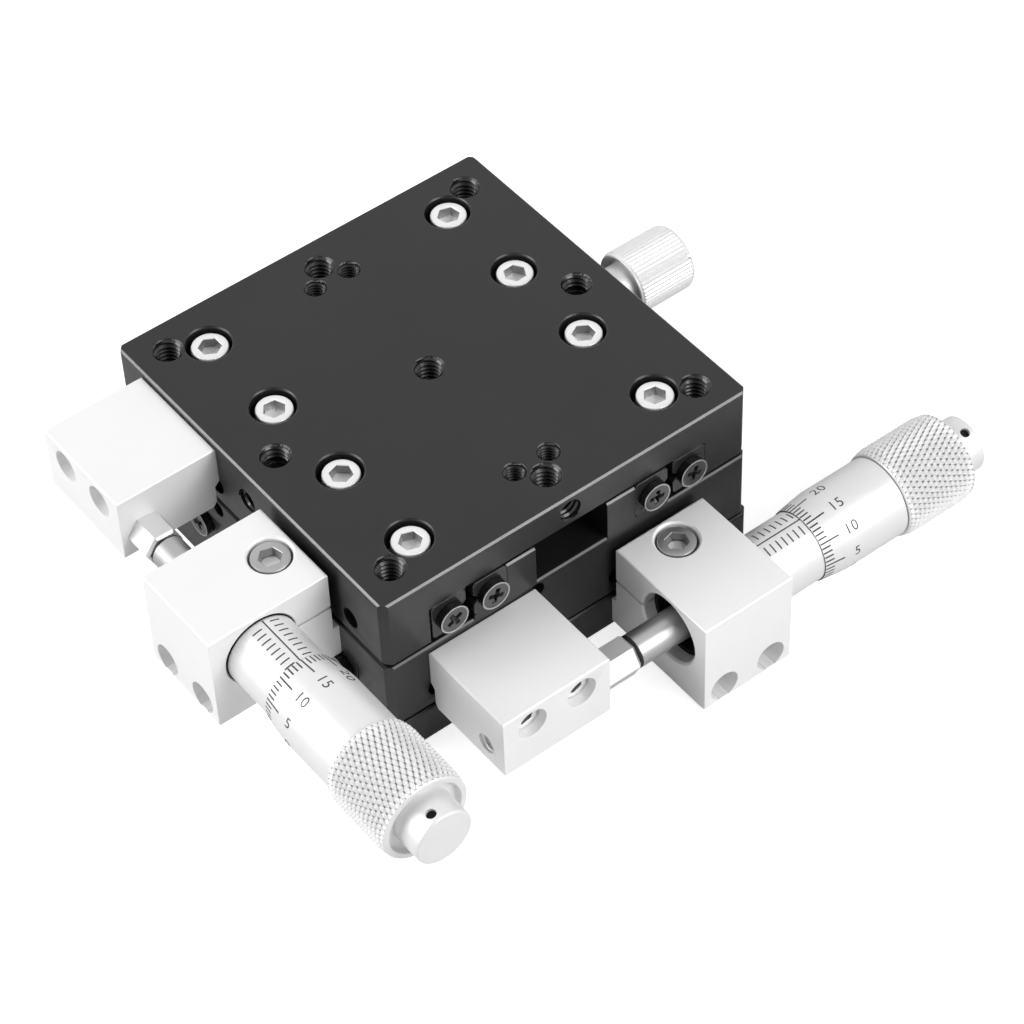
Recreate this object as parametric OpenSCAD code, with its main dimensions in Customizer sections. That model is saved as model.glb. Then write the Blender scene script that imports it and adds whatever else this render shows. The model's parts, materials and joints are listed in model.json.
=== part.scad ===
// Two-axis crossed-roller linear stage with a micrometer head on each axis.
// One slide is drawn once, with its travel along X, and used twice: the lower one is turned a
// quarter turn and moves the saddle along Y, the upper one moves the table along X.
// Millimetres, +Z up, origin at the centre of the base plate's bottom face.

/* [Position] */
// Table's place along X, measured from the middle of its travel
x_position = -0.2; // [-6:0.05:6]
// Saddle's place along Y, measured from the middle of its travel
y_position = -0.55; // [-5.5:0.05:6]

/* [Plates] */
// Side of the three square plates
plate_side = 60; // [59:0.5:66]
// Thickness of a fixed plate under its rails
floor_h = 6; // [5.6:0.1:8]
// Thickness of a moving plate's web
web_h = 5; // [4.6:0.1:8]
// Height of the ledge that an inner rail stands on
ledge_h = 0.7; // [0.5:0.1:1.2]
// Width of the rib behind each inner rail
rib_w = 4.7; // [3:0.1:6]
// Drop from the rail's top to the rib's top
rib_drop = 0.2; // [0.1:0.05:0.5]
// Relief between the land over an outer rail and the web's underside
web_relief = 0.3; // [0.2:0.05:0.6]
// Running gap between a moving plate's legs and the plate below
leg_gap = 0.5; // [0.4:0.1:1]
// Chamfer of the plates' upright corners
corner_chamfer = 1; // [0.5:0.1:2]
// Chamfer of the plates' edges
edge_chamfer = 0.3; // [0.1:0.05:0.5]

/* [Crossed rollers] */
// Height of a rail
rail_h = 6; // [5.6:0.1:7]
// Width of a rail
rail_w = 5.5; // [5.2:0.1:6]
// Chamfer of a rail's long edges
rail_chamfer = 0.35; // [0.2:0.05:0.5]
// Distance from the plate's middle to the middle of each roller row
bearing_y = 16.6; // [16:0.1:17]
// Gap between the two rails of a pair
rail_gap = 1; // [0.9:0.05:1.2]
// Radius of a roller
roller_r = 1; // [0.9:0.05:1.1]
// Length of a roller
roller_l = 1.84; // [1.6:0.02:1.9]
// Running clearance of a roller in its grooves
roller_play = 0.02; // [0.01:0.005:0.04]
// Rollers in a row
roller_count = 12; // [6:2:12]
// Pitch of the rollers
roller_pitch = 4; // [3:0.1:4]
// Thickness of a cage
cage_t = 0.5; // [0.3:0.05:0.6]
// Height of a cage
cage_h = 4.2; // [3.8:0.1:4.2]
// Pitch of the holes along a rail
rail_hole_pitch = 15; // [14:0.5:15]
// Distance of the holes from a rail's back
rail_hole_in = 2.5; // [2.4:0.05:2.6]
// Radius of the tapped hole through a rail
rail_hole_r = 1.5; // [1.4:0.05:1.6]
// Radius of the counterbore in a rail
rail_cb_r = 2.2; // [2.15:0.05:2.3]
// Depth of the counterbore in a rail
rail_cb_h = 2.6; // [2.4:0.1:2.8]

/* [Table holes] */
// Pitch of the large tapped holes
m4_pitch = 25; // [24:0.5:26]
// Wall radius of a large tapped hole
m4_r = 1.65; // [1.5:0.05:1.75]
// Countersink radius of a large tapped hole
m4_mouth_r = 2.2; // [2:0.05:2.4]
// Depth of the large tapped holes over the side holes
m4_short_h = 3; // [2:0.1:3]
// Distance of the small tapped holes from the middle
m3_x = 22; // [21.5:0.1:22.2]
// Half the gap between the small tapped holes of a pair
m3_y = 2.8; // [2.6:0.1:4]
// Wall radius of a small tapped hole
m3_r = 1.25; // [1.1:0.05:1.3]
// Countersink radius of a small tapped hole
m3_mouth_r = 1.65; // [1.5:0.05:1.75]
// Radius of the counterbores over the outer rails
plate_cb_r = 3.2; // [3:0.05:3.3]
// Depth of the counterbores over the outer rails
plate_cb_h = 3.6; // [3.4:0.1:3.8]
// Wall radius of the tapped holes in the table's sides
side_hole_r = 1.7; // [1.5:0.05:1.75]
// Depth of the tapped hole in the table's end
side_hole_h = 3; // [2:0.1:3]
// Depth of the end hole's axis below the table's top
end_hole_z = 2.56; // [2.4:0.02:2.6]

/* [Screws] */
// Radius of a large cap screw's head
head_r = 2.75; // [2.6:0.05:2.85]
// Height of a large cap screw's head
head_h = 3; // [2.8:0.1:3.2]
// Radius of a large cap screw's thread
thread_r = 1.48; // [1.3:0.02:1.48]
// Width across the flats of a large hexagon socket
socket_w = 2.5; // [2:0.1:3]
// Radius of a small cap screw's head
small_head_r = 2.1; // [2:0.05:2.1]
// Height of a small cap screw's head
small_head_h = 2; // [1.8:0.1:2.2]
// Radius of a small cap screw's thread
small_thread_r = 1.22; // [1.1:0.02:1.22]
// Width across the flats of a small hexagon socket
small_socket_w = 2; // [1.5:0.1:2.2]
// Radius of the disc of an end screw
disc_r = 2.2; // [1.9:0.05:2.3]
// Thickness of the disc of an end screw
disc_t = 0.5; // [0.3:0.05:0.7]
// Stand-out of an end screw's disc from the rail's end
disc_out = 1.25; // [1:0.05:1.5]
// Radius of an end screw's thread
end_thread_r = 0.97; // [0.8:0.01:0.98]

/* [Stop blocks] */
// Length of a stop block along the travel
stop_l = 17.3; // [17:0.1:18]
// Reach of a stop block from the plate's side
stop_w = 15.5; // [15:0.1:17]
// Height of a stop block
stop_h = 10.4; // [10.2:0.1:10.6]
// Drop from the plate's top to the block's top
stop_drop = 1; // [0.8:0.1:1.2]
// Place of the table's stop block along X
x_stop_place = -15.35; // [-15.6:0.05:-15]
// Place of the saddle's stop block along Y
y_stop_place = -14.95; // [-15.2:0.05:-14.8]
// Relief behind a stop block
stop_relief = 0.75; // [0.5:0.05:1]
// Height of a stop block's seat
stop_seat_h = 6; // [5.5:0.1:6.5]
// Drop from the plate's top to the stop block's screws
stop_screw_drop = 4.15; // [4:0.05:4.25]
// Pitch of a block's two screws
block_pitch = 8; // [7.5:0.1:8.4]
// Counterbore radius of a block's screws
block_cb_r = 2.3; // [2.2:0.05:2.35]
// Hexagon anvil's width across the flats
anvil_w = 5; // [4.8:0.1:5.2]
// Length of the table's anvil
x_anvil_l = 4.5; // [4.3:0.1:4.7]
// Length of the saddle's anvil
y_anvil_l = 6.2; // [6:0.1:6.4]

/* [Clamp blocks] */
// Length of a clamp block along the travel
clamp_l = 14.85; // [14.6:0.05:15.2]
// Reach of a clamp block from the plate's side
clamp_w = 19.3; // [19:0.1:21]
// Height of a clamp block
clamp_h = 15.9; // [15.8:0.05:16.2]
// Height of a clamp block's underside over its plate's underside
clamp_lift = 0.1; // [0.05:0.05:0.15]
// Place of the upper clamp block along X
x_clamp_place = 11.9; // [11.8:0.05:12.1]
// Place of the lower clamp block along Y
y_clamp_place = 13.35; // [13.1:0.05:13.5]
// Relief behind a clamp block, over its foot
clamp_relief = 0.9; // [0.7:0.05:1.1]
// Height of a clamp block's foot
foot_h = 5.4; // [5:0.1:5.5]
// Width of the pinch slit
slit_h = 0.45; // [0.3:0.05:0.6]
// Distance from the plate's side to the pinch screw
pinch_out = 4.6; // [4.4:0.1:4.8]
// Counterbore radius of the pinch screw
pinch_cb_r = 3; // [2.9:0.05:3.2]
// Drop from the plate's top to the clamp block's screws
clamp_screw_drop = 3.4; // [3.3:0.05:3.5]
// Running clearance of the pocket under a clamp block, over the rails below
pocket_play = 0.2; // [0.15:0.05:0.3]

/* [Micrometer heads] */
// Distance from the plate's side to the screw's axis
axis_out = 11.7; // [11.6:0.05:12]
// Height of the screw's axis over the fixed plate's underside
axis_z = 9.8; // [9.7:0.05:9.9]
// Radius of the spindle
spindle_r = 2.42; // [2.2:0.02:2.6]
// Running clearance of the spindle in its sleeve
spindle_play = 0.03; // [0.01:0.01:0.06]
// Radius of the sleeve
sleeve_r = 5.2; // [5:0.05:5.3]
// Length of the sleeve
sleeve_l = 39.3; // [36:0.1:39.3]
// Depth of the sleeve's front end behind the clamp's face
sleeve_recess = 1; // [0.9:0.05:1.4]
// Radius of the screw thread behind the spindle
screw_r = 3.2; // [3:0.05:3.6]
// Radius of the thimble
thimble_r = 5.95; // [5.8:0.05:6.1]
// Radial gap between the thimble and the sleeve
thimble_play = 0.05; // [0.03:0.01:0.08]
// Wall at the thimble's front edge
thimble_lip = 0.12; // [0.1:0.02:0.3]
// Distance from the upper spindle's tip to its thimble's front edge
x_thimble_start = 30.2; // [29.9:0.1:31]
// Distance from the lower spindle's tip to its thimble's front edge
y_thimble_start = 29.4; // [29.2:0.1:31]
// Length of the thimble's bevel
bevel_l = 4.2; // [3:0.1:5]
// Length of the plain part of the thimble, bevel included
barrel_l = 14.2; // [14:0.1:16]
// Radius of the knurled grip
grip_r = 6.63; // [6.4:0.05:6.9]
// Length of the knurled grip
grip_l = 11.9; // [11.9:0.1:15]
// Chamfer of the grip's ends
grip_chamfer = 0.6; // [0.3:0.05:0.8]
// Radius of the end cap
cap_r = 4.15; // [3.8:0.05:4.5]
// Length of the end cap
cap_l = 3.9; // [3.5:0.1:5]

/* [Lock screw] */
// Depth of the lock screw's axis below the table's top
lock_z = 5.2; // [5.15:0.05:5.25]
// Radius of the lock screw's thread
lock_r = 1.97; // [1.85:0.01:1.98]
// Running clearance of the lock screw in the table
lock_play = 0.05; // [0.02:0.01:0.06]
// Radius of the lock screw's collar
collar_r = 3.2; // [2.8:0.1:3.6]
// Length of the collar
collar_l = 2.8; // [2.4:0.1:3.5]
// Radius of the lock knob
knob_r = 4.85; // [4.6:0.05:5.2]
// Length of the lock knob
knob_l = 9.5; // [8:0.1:11]
// Teeth of the lock knob
knob_teeth = 48; // [36:1:60]
// Radius of the lock pin
pin_r = 0.85; // [0.8:0.01:0.85]
// Gap between the lock pin and the inner rail when it is slack
pin_gap = 0.4; // [0.3:0.05:0.5]

/* [Return springs] */
// Distance of the spring posts from the middle
post_x = 19; // [18:0.5:19.5]
// Radius of a spring post
post_r = 1; // [0.8:0.05:1.1]
// Mean radius of a coil
coil_r = 1.9; // [1.8:0.05:2.1]
// Radius of the spring's wire
wire_r = 0.3; // [0.25:0.01:0.3]
// Curls in a spring
curls = 26; // [16:1:26]

/* [Hidden] */
$fn = 64;
overrun = 0.5;
half_share = 0.5;
quarter_turn = 90;
half_turn = 180;

// Heights of one slide, from the fixed plate's underside
half_side = plate_side / 2;
ledge_z = floor_h + ledge_h;
rail_mid_z = ledge_z + rail_h / 2;
rail_top_z = ledge_z + rail_h;
rib_top_z = rail_top_z - rib_drop;
web_z = rail_top_z + web_relief;
top_z = web_z + web_h;
leg_z = floor_h + leg_gap;
stage_pitch = top_z - floor_h;

// Distances from the plate's middle across the travel
inner_back = bearing_y - rail_gap / 2 - rail_w;
outer_front = bearing_y + rail_gap / 2;
outer_back = outer_front + rail_w;
channel_half = inner_back - rib_w;
preload_gap = 0.3;
rail_mid_y = rail_w / 2;
inner_hole_y = inner_back + rail_hole_in;
outer_hole_y = outer_back - rail_hole_in;
rail_holes_x = [for (i = [-1.5:1.5]) i * rail_hole_pitch];

// Groove of a rail: half its height at the rail's face, and its relief slot
groove_half = roller_r * sqrt(2) - rail_gap / 2;
relief_half = 0.2;
relief_depth = 0.4;
end_hole_h = 4;
end_hole_play = 0.03;
screw_head_drop = plate_cb_h - head_h;
rail_screw_l = 5;
ledge_screw_l = 6;
tap_spare = 0.4;
seat_z = top_z - plate_cb_h;
clear_r = thread_r + 0.12;
small_clear_r = small_thread_r + 0.13;
small_tap_r = small_thread_r + 0.02;
tap_r = thread_r + 0.02;
socket_share = 0.55;

// Preload screws
preload_l = 5;
preload_touch = 0.02;

// Blocks, in one slide's frame
mic_y = -half_side - axis_out;
stop_z = top_z - stop_drop - stop_h;
stop_screw_z = top_z - stop_screw_drop;
stop_cb_h = 4.4;
block_screw_in = 6;
clamp_z = clamp_lift;
clamp_screw_z = floor_h - clamp_screw_drop;
clamp_head_in = 7.3;
block_edge = 0.35;
foot_corner = 0.9;
bore_play = 0.02;
bore_mouth_r = sleeve_r + 0.35;
bore_mouth_h = 0.35;
pinch_drop = 0.3;
pinch_l = 10;
stud_l = 8;
anvil_chamfer = 0.4;
anvil_turn = 5;
roller_tilt = 45;
travel_each_way = 6.5;

// Micrometer, from the spindle's tip
tip_gap = 0.02;
tip_bevel = 0.4;
tip_ring_l = 0.65;
screw_start = 36;
end_wall = 2;
sleeve_spare = 0.6;
sleeve_end = clamp_l / -2 + sleeve_recess + sleeve_l;
x_thimble_in = x_stop_place + stop_l / 2 + x_anvil_l + x_thimble_start - travel_each_way;
y_thimble_in = y_stop_place + stop_l / 2 + y_anvil_l + y_thimble_start - travel_each_way;
sleeve_inside = max(x_clamp_place - x_thimble_in, y_clamp_place - y_thimble_in) + sleeve_end;
head_l = max(barrel_l + grip_l, sleeve_inside + sleeve_spare + end_wall);
tail_r = 1.8;
tail_play = 0.02;
rim_depth = 0.3;
rim_w = 0.9;
cap_edge = 0.5;
cap_hole_r = 0.7;
cap_hole_h = 2;
cap_hole_out = 2.4;
x_cap_hole_turn = 10.9;
y_cap_hole_turn = 18.6;
front_bore_l = 21;

// Lock
lock_side_z = top_z - lock_z;
lock_bore_r = lock_r + lock_play;
lock_tip_in = 0.4;
knob_tooth = 0.22;
knob_edge = 0.5;
knob_slot_w = 0.9;
knob_slot_h = 1.2;
knob_slot_turn = 36;
pin_play = 0.12;
pin_bore_y = bearing_y - rail_gap;

// Springs
spring_z = (floor_h + web_z) / 2;
post_in = 2;
post_past = 0.9;
hook_straight = 1.6;
hook_gap = 0.05;
hook_end = 220;
curl_steps = 8;
hook_steps = 10;
wire_sides = 6;

black = [0.09, 0.09, 0.1];
silver = [0.86, 0.86, 0.87];
steel = [0.62, 0.63, 0.65];
brass = [0.76, 0.62, 0.3];
dark_steel = [0.14, 0.14, 0.15];

// Places of the two slides and of what moves on them
module lower_fixed() { rotate([0, 0, quarter_turn]) children(); }
module lower_moving() { translate([0, y_position, 0]) rotate([0, 0, quarter_turn]) children(); }
module lower_cage() { translate([0, y_position / 2, 0]) rotate([0, 0, quarter_turn]) children(); }
module upper_fixed() { translate([0, y_position, stage_pitch]) children(); }
module upper_moving() { translate([x_position, y_position, stage_pitch]) children(); }
module upper_cage() { translate([x_position / 2, y_position, stage_pitch]) children(); }

// A cylinder along X, Y or Z that starts at a point
module along_x(r, h) { rotate([0, quarter_turn, 0]) cylinder(r = r, h = h); }
module along_y(r, h) { rotate([-quarter_turn, 0, 0]) cylinder(r = r, h = h); }

// A prism along X whose outline is drawn in Y and Z
module prism_x(points, l) {
    translate([-l / 2, 0, 0])
        rotate([quarter_turn, 0, quarter_turn])
            linear_extrude(l) polygon(points);
}

module mirrored_y() {
    children();
    mirror([0, 1, 0]) children();
}

// The square of the plates with its corners cut
module corner_prism(h) {
    s = half_side;
    c = half_side - corner_chamfer;
    linear_extrude(h)
        polygon([[c, -s], [s, -c], [s, c], [c, s], [-c, s], [-s, c], [-s, -c], [-c, -s]]);
}

// Bevels along the two ends of a block of width w, at height z
module end_bevels(l, w, z, edge) {
    for (side = [-1, 1])
        translate([side * l / 2, 0, z])
            rotate([0, quarter_turn / 2, 0])
                cube([edge * sqrt(2), w + overrun * 2, edge * sqrt(2)], center = true);
}

// A tapped hole from the top down, with its countersink
module tapped_hole(r, mouth_r, h) {
    translate([0, 0, -h]) cylinder(r = r, h = h + overrun);
    translate([0, 0, r - mouth_r]) cylinder(r1 = r, r2 = mouth_r + overrun, h = mouth_r - r + overrun);
}

// Outline of a moving plate: an inverted channel with a land over each outer rail
function moving_outline() = let (s = half_side, e = edge_chamfer) [
    [-s + e, leg_z], [-outer_back - preload_gap, leg_z], [-outer_back - preload_gap, rail_top_z],
    [-outer_front, rail_top_z], [-outer_front, web_z], [outer_front, web_z],
    [outer_front, rail_top_z], [outer_back, rail_top_z], [outer_back, leg_z], [s - e, leg_z],
    [s, leg_z + e], [s, top_z - e], [s - e, top_z], [-s + e, top_z], [-s, top_z - e], [-s, leg_z + e],
];

// Outline of the rib and ledge on one side of a fixed plate
function rib_outline() = let (low = floor_h - edge_chamfer) [
    [channel_half, low], [bearing_y - rail_gap / 2, low], [bearing_y - rail_gap / 2, ledge_z],
    [inner_back, ledge_z], [inner_back, rib_top_z], [channel_half, rib_top_z],
];

module ribs() {
    difference() {
        mirrored_y() prism_x(rib_outline(), plate_side);
        end_bevels(plate_side, plate_side, rib_top_z, edge_chamfer);
    }
}

module moving_body() {
    difference() {
        intersection() {
            prism_x(moving_outline(), plate_side);
            corner_prism(top_z);
        }
        end_bevels(plate_side, plate_side, top_z, edge_chamfer);
    }
}

// Counterbored holes for the screws of the outer rails
module outer_rail_holes(cb_r) {
    mirrored_y() for (x = rail_holes_x) translate([x, outer_hole_y, 0]) {
        translate([0, 0, seat_z]) cylinder(r = cb_r, h = stage_pitch);
        translate([0, 0, web_z - web_h]) cylinder(r = clear_r, h = web_h * 2);
    }
}

// Tapped holes in the ledges for the screws of the inner rails
module inner_rail_holes() {
    hole_z = rail_top_z - rail_cb_h - ledge_screw_l - tap_spare;
    mirrored_y() for (x = rail_holes_x)
        translate([x, inner_hole_y, hole_z]) cylinder(r = small_tap_r, h = rail_h);
}

module preload_holes() {
    for (x = rail_holes_x)
        translate([x, -half_side - overrun, rail_mid_z]) along_y(tap_r, half_side - outer_back + overrun);
}

// Tapped holes in a plate's side for a block's two screws
module block_holes(place, z) {
    for (side = [-1, 1])
        translate([place + side * block_pitch / 2, -half_side - overrun, z])
            along_y(small_tap_r, block_screw_in + overrun);
}

module post_hole(x, z) {
    translate([x, 0, z]) cylinder(r = post_r, h = post_in + overrun);
}

module base_plate() {
    e = edge_chamfer;
    s = half_side;
    color(black) lower_fixed() difference() {
        union() {
            intersection() {
                prism_x([[-s + e, 0], [s - e, 0], [s, e], [s, floor_h - e], [s - e, floor_h],
                    [-s + e, floor_h], [-s, floor_h - e], [-s, e]], plate_side);
                corner_prism(floor_h);
            }
            ribs();
        }
        inner_rail_holes();
        block_holes(y_clamp_place, clamp_screw_z);
        post_hole(post_x, floor_h - post_in);
        for (x = [-m4_pitch, m4_pitch], y = [-m4_pitch, m4_pitch])
            translate([x, y, 0]) mirror([0, 0, 1]) tapped_hole(m4_r, m4_mouth_r, floor_h + overrun);
    }
}

module saddle_plate() {
    spare_hole_r = small_tap_r;
    spare_hole_h = 4;
    spare_x = -8.4;
    spare_y = -6;
    spare_drop = 1.8;
    color(black) difference() {
        union() {
            lower_moving() moving_body();
            upper_fixed() ribs();
        }
        lower_moving() {
            outer_rail_holes(pinch_cb_r);
            preload_holes();
            block_holes(y_stop_place, stop_screw_z);
            post_hole(-post_x, web_z - overrun);
            translate([spare_y, -half_side - overrun, top_z - spare_drop])
                along_y(spare_hole_r, spare_hole_h + overrun);
        }
        upper_fixed() {
            inner_rail_holes();
            block_holes(x_clamp_place, clamp_screw_z);
            post_hole(post_x, floor_h - post_in);
            translate([spare_x, -half_side - overrun, floor_h - spare_drop])
                along_y(spare_hole_r, spare_hole_h + overrun);
        }
    }
}

module table_plate() {
    color(black) upper_moving() difference() {
        moving_body();
        outer_rail_holes(plate_cb_r);
        preload_holes();
        block_holes(x_stop_place, stop_screw_z);
        post_hole(-post_x, web_z - overrun);
        for (x = [-m4_pitch, 0, m4_pitch], y = [-m4_pitch, 0, m4_pitch])
            translate([x, y, top_z])
                tapped_hole(m4_r, m4_mouth_r, x == 0 && y != 0 ? m4_short_h : web_h + overrun);
        for (x = [-m3_x, m3_x], y = [-m3_y, m3_y])
            translate([x, y, top_z]) tapped_hole(m3_r, m3_mouth_r, web_h + overrun);
        translate([half_side - side_hole_h, 0, top_z - end_hole_z])
            along_x(side_hole_r, side_hole_h + overrun);
        translate([0, -half_side - overrun, lock_side_z])
            along_y(side_hole_r, half_side - outer_back - preload_gap);
        translate([0, outer_back, lock_side_z]) along_y(lock_bore_r, half_side - outer_back + overrun);
        translate([0, pin_bore_y, lock_side_z]) along_y(pin_r + pin_play, half_side - pin_bore_y);
    }
}

// One rail: back at y = 0, groove towards +Y, counterbores on top, centred in X and Z
module rail() {
    h = rail_h / 2;
    c = rail_chamfer;
    w = rail_w;
    slot_y = w - groove_half + relief_half;
    difference() {
        prism_x([[c, -h], [w - c, -h], [w, c - h], [w, -groove_half], [slot_y, -relief_half],
            [slot_y - relief_depth, -relief_half], [slot_y - relief_depth, relief_half],
            [slot_y, relief_half], [w, groove_half], [w, h - c], [w - c, h], [c, h], [0, h - c],
            [0, c - h]], plate_side);
        for (x = rail_holes_x) translate([x, rail_hole_in, 0]) {
            cylinder(r = rail_hole_r, h = rail_h + overrun, center = true);
            translate([0, 0, h - rail_cb_h]) cylinder(r = rail_cb_r, h = rail_h);
        }
        for (side = [0, 1])
            mirror([side, 0, 0])
                translate([half_side - end_hole_h, rail_mid_y, 0])
                    along_x(end_thread_r + end_hole_play, end_hole_h + overrun);
    }
}

module inner_rail() {
    color(dark_steel) translate([0, inner_back, rail_mid_z]) rail();
}

module outer_rail() {
    color(dark_steel) translate([0, outer_back, rail_mid_z]) rotate([half_turn, 0, 0]) rail();
}

module base_rail_left() { lower_fixed() inner_rail(); }
module base_rail_right() { lower_fixed() mirror([0, 1, 0]) inner_rail(); }
module saddle_lower_rail_left() { lower_moving() outer_rail(); }
module saddle_lower_rail_right() { lower_moving() mirror([0, 1, 0]) outer_rail(); }
module saddle_upper_rail_front() { upper_fixed() mirror([0, 1, 0]) inner_rail(); }
module saddle_upper_rail_back() { upper_fixed() inner_rail(); }
module table_rail_front() { upper_moving() mirror([0, 1, 0]) outer_rail(); }

module table_rail_back() {
    upper_moving() difference() {
        outer_rail();
        translate([0, pin_bore_y, lock_side_z]) along_y(pin_r + pin_play, half_side - pin_bore_y);
    }
}

// Rollers lie across the groove at 45 degrees, each turned the other way from the last
function roller_x(i) = (i - (roller_count - 1) * half_share) * roller_pitch;
function roller_turn(i) = i % 2 == 0 ? roller_tilt : -roller_tilt;

module roller_row(r, l) {
    for (i = [0:roller_count - 1])
        translate([roller_x(i), bearing_y, rail_mid_z])
            rotate([roller_turn(i), 0, 0]) cylinder(r = r, h = l, center = true);
}

module rollers() { color(steel) roller_row(roller_r - roller_play, roller_l); }

module cage() {
    window_play = 0.03;
    cage_l = (roller_count - 1) * roller_pitch + roller_r * 5;
    color(brass) difference() {
        translate([-cage_l / 2, bearing_y - cage_t / 2, rail_mid_z - cage_h / 2])
            cube([cage_l, cage_t, cage_h]);
        roller_row(roller_r + window_play, roller_l * 2);
    }
}

module y_cage_left() { lower_cage() cage(); }
module y_cage_right() { lower_cage() mirror([0, 1, 0]) cage(); }
module x_cage_front() { upper_cage() mirror([0, 1, 0]) cage(); }
module x_cage_back() { upper_cage() cage(); }
module y_rollers_left() { lower_cage() rollers(); }
module y_rollers_right() { lower_cage() mirror([0, 1, 0]) rollers(); }
module x_rollers_front() { upper_cage() mirror([0, 1, 0]) rollers(); }
module x_rollers_back() { upper_cage() rollers(); }

// A socket cap screw: its seat at z = 0, head up, thread down
module cap_screw(r, h, shank_r, l, socket) {
    edge = r - shank_r > edge_chamfer ? edge_chamfer : 0;
    difference() {
        union() {
            cylinder(r = r, h = h - edge);
            translate([0, 0, h - edge]) cylinder(r1 = r, r2 = r - edge, h = edge);
            translate([0, 0, -l]) cylinder(r = shank_r, h = l + edge);
        }
        translate([0, 0, h * (1 - socket_share)])
            cylinder(r = socket / sqrt(3), h = h, $fn = 6);
    }
}

module large_screw(l) { color(silver) cap_screw(head_r, head_h, thread_r, l, socket_w); }
module small_screw(l) {
    color(steel) cap_screw(small_head_r, small_head_h, small_thread_r, l, small_socket_w);
}

module inner_rail_screws() {
    mirrored_y() for (x = rail_holes_x)
        translate([x, inner_hole_y, rail_top_z - rail_cb_h]) small_screw(ledge_screw_l);
}

module outer_rail_screws() {
    mirrored_y() for (x = rail_holes_x) translate([x, outer_hole_y, seat_z]) large_screw(rail_screw_l);
}

module base_rail_screws() { lower_fixed() inner_rail_screws(); }
module saddle_lower_rail_screws() { lower_moving() outer_rail_screws(); }
module saddle_upper_rail_screws() { upper_fixed() inner_rail_screws(); }
module table_rail_screws() { upper_moving() outer_rail_screws(); }

// A cross-slotted screw in a rail's end: its face at x = disc_out from the rail
module end_screw() {
    cross_w = 0.5;
    cross_l = 2.5;
    cross_h = 0.6;
    cone_h = disc_out - disc_t;
    color(dark_steel) difference() {
        rotate([0, quarter_turn, 0]) union() {
            translate([0, 0, -end_hole_h + tap_spare]) cylinder(r = end_thread_r, h = end_hole_h);
            cylinder(r1 = end_thread_r, r2 = disc_r, h = cone_h);
            translate([0, 0, cone_h]) cylinder(r = disc_r, h = disc_t);
        }
        for (turn = [-1, 1])
            translate([disc_out, 0, 0])
                rotate([turn * quarter_turn / 2, 0, 0])
                    cube([cross_h * 2, cross_l, cross_w], center = true);
    }
}

module end_screws(y) {
    for (side = [0, 1])
        mirror([side, 0, 0]) mirrored_y() translate([half_side, y, rail_mid_z]) end_screw();
}

module base_end_screws() { lower_fixed() end_screws(inner_back + rail_mid_y); }
module saddle_lower_end_screws() { lower_moving() end_screws(outer_back - rail_mid_y); }
module saddle_upper_end_screws() { upper_fixed() end_screws(inner_back + rail_mid_y); }
module table_end_screws() { upper_moving() end_screws(outer_back - rail_mid_y); }

// Socket set screws that push the front outer rail towards its rollers
module preload_screws() {
    color(dark_steel) for (x = rail_holes_x)
        translate([x, -outer_back - preload_touch, rail_mid_z]) mirror([0, 1, 0]) difference() {
            along_y(thread_r, preload_l);
            translate([0, preload_l * half_share, 0])
                rotate([-quarter_turn, 0, 0])
                    cylinder(r = socket_w * socket_share / sqrt(3), h = preload_l, $fn = 6);
        }
}

module saddle_preload_screws() { lower_moving() preload_screws(); }
module table_preload_screws() { upper_moving() preload_screws(); }

// Stop block: its seat on the plate's side at the top, relieved below, hollow corner at the foot
module stop_block(place) {
    b = block_edge;
    r = stop_relief;
    w = stop_w;
    z = stop_z;
    t = stop_z + stop_h;
    step_z = t - stop_seat_h;
    color(silver) translate([place, 0, 0]) difference() {
        translate([0, -half_side, 0])
            prism_x([[-b, t], [0, t - b], [0, step_z], [-r, step_z - r], [-r, z + foot_corner],
                [-r - foot_corner, z], [b - w, z], [-w, z + b], [-w, t - b], [b - w, t]], stop_l);
        end_bevels(stop_l, plate_side * 2, t, b);
        end_bevels(stop_l, plate_side * 2, z, b);
        translate([-stop_l / 2 - overrun, mic_y, axis_z]) along_x(tap_r, stop_l + overrun * 2);
        for (side = [-1, 1]) translate([side * block_pitch / 2, -half_side - w, stop_screw_z]) {
            translate([0, -overrun, 0]) along_y(block_cb_r, stop_cb_h + overrun);
            along_y(small_clear_r, w + overrun);
        }
    }
}

// Two screws of a block: their heads seated at a depth from the plate's side
module block_screws(place, z, seat_out) {
    for (side = [-1, 1])
        translate([place + side * block_pitch / 2, -half_side - seat_out, z])
            rotate([quarter_turn, 0, 0]) small_screw(seat_out + block_screw_in - tap_spare);
}

// Hexagon anvil on the stop block's face, with its threaded stud in the block
module anvil(place, l) {
    r = anvil_w / sqrt(3);
    color(steel) translate([place + stop_l / 2, mic_y, axis_z]) {
        rotate([0, quarter_turn, 0])
            rotate([0, 0, quarter_turn - anvil_turn])
                rotate_extrude($fn = 6)
                    polygon([[0, 0], [r, 0], [r, l - anvil_chamfer], [r - anvil_chamfer, l], [0, l]]);
        translate([-stud_l, 0, 0]) along_x(thread_r, stud_l + overrun);
    }
}

module y_stop_block() { lower_moving() stop_block(y_stop_place); }
module y_stop_screws() { lower_moving() block_screws(y_stop_place, stop_screw_z, stop_w - stop_cb_h); }
module y_anvil() { lower_moving() anvil(y_stop_place, y_anvil_l); }
module x_stop_block() { upper_moving() stop_block(x_stop_place); }
module x_stop_screws() { upper_moving() block_screws(x_stop_place, stop_screw_z, stop_w - stop_cb_h); }
module x_anvil() { upper_moving() anvil(x_stop_place, x_anvil_l); }

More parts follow.
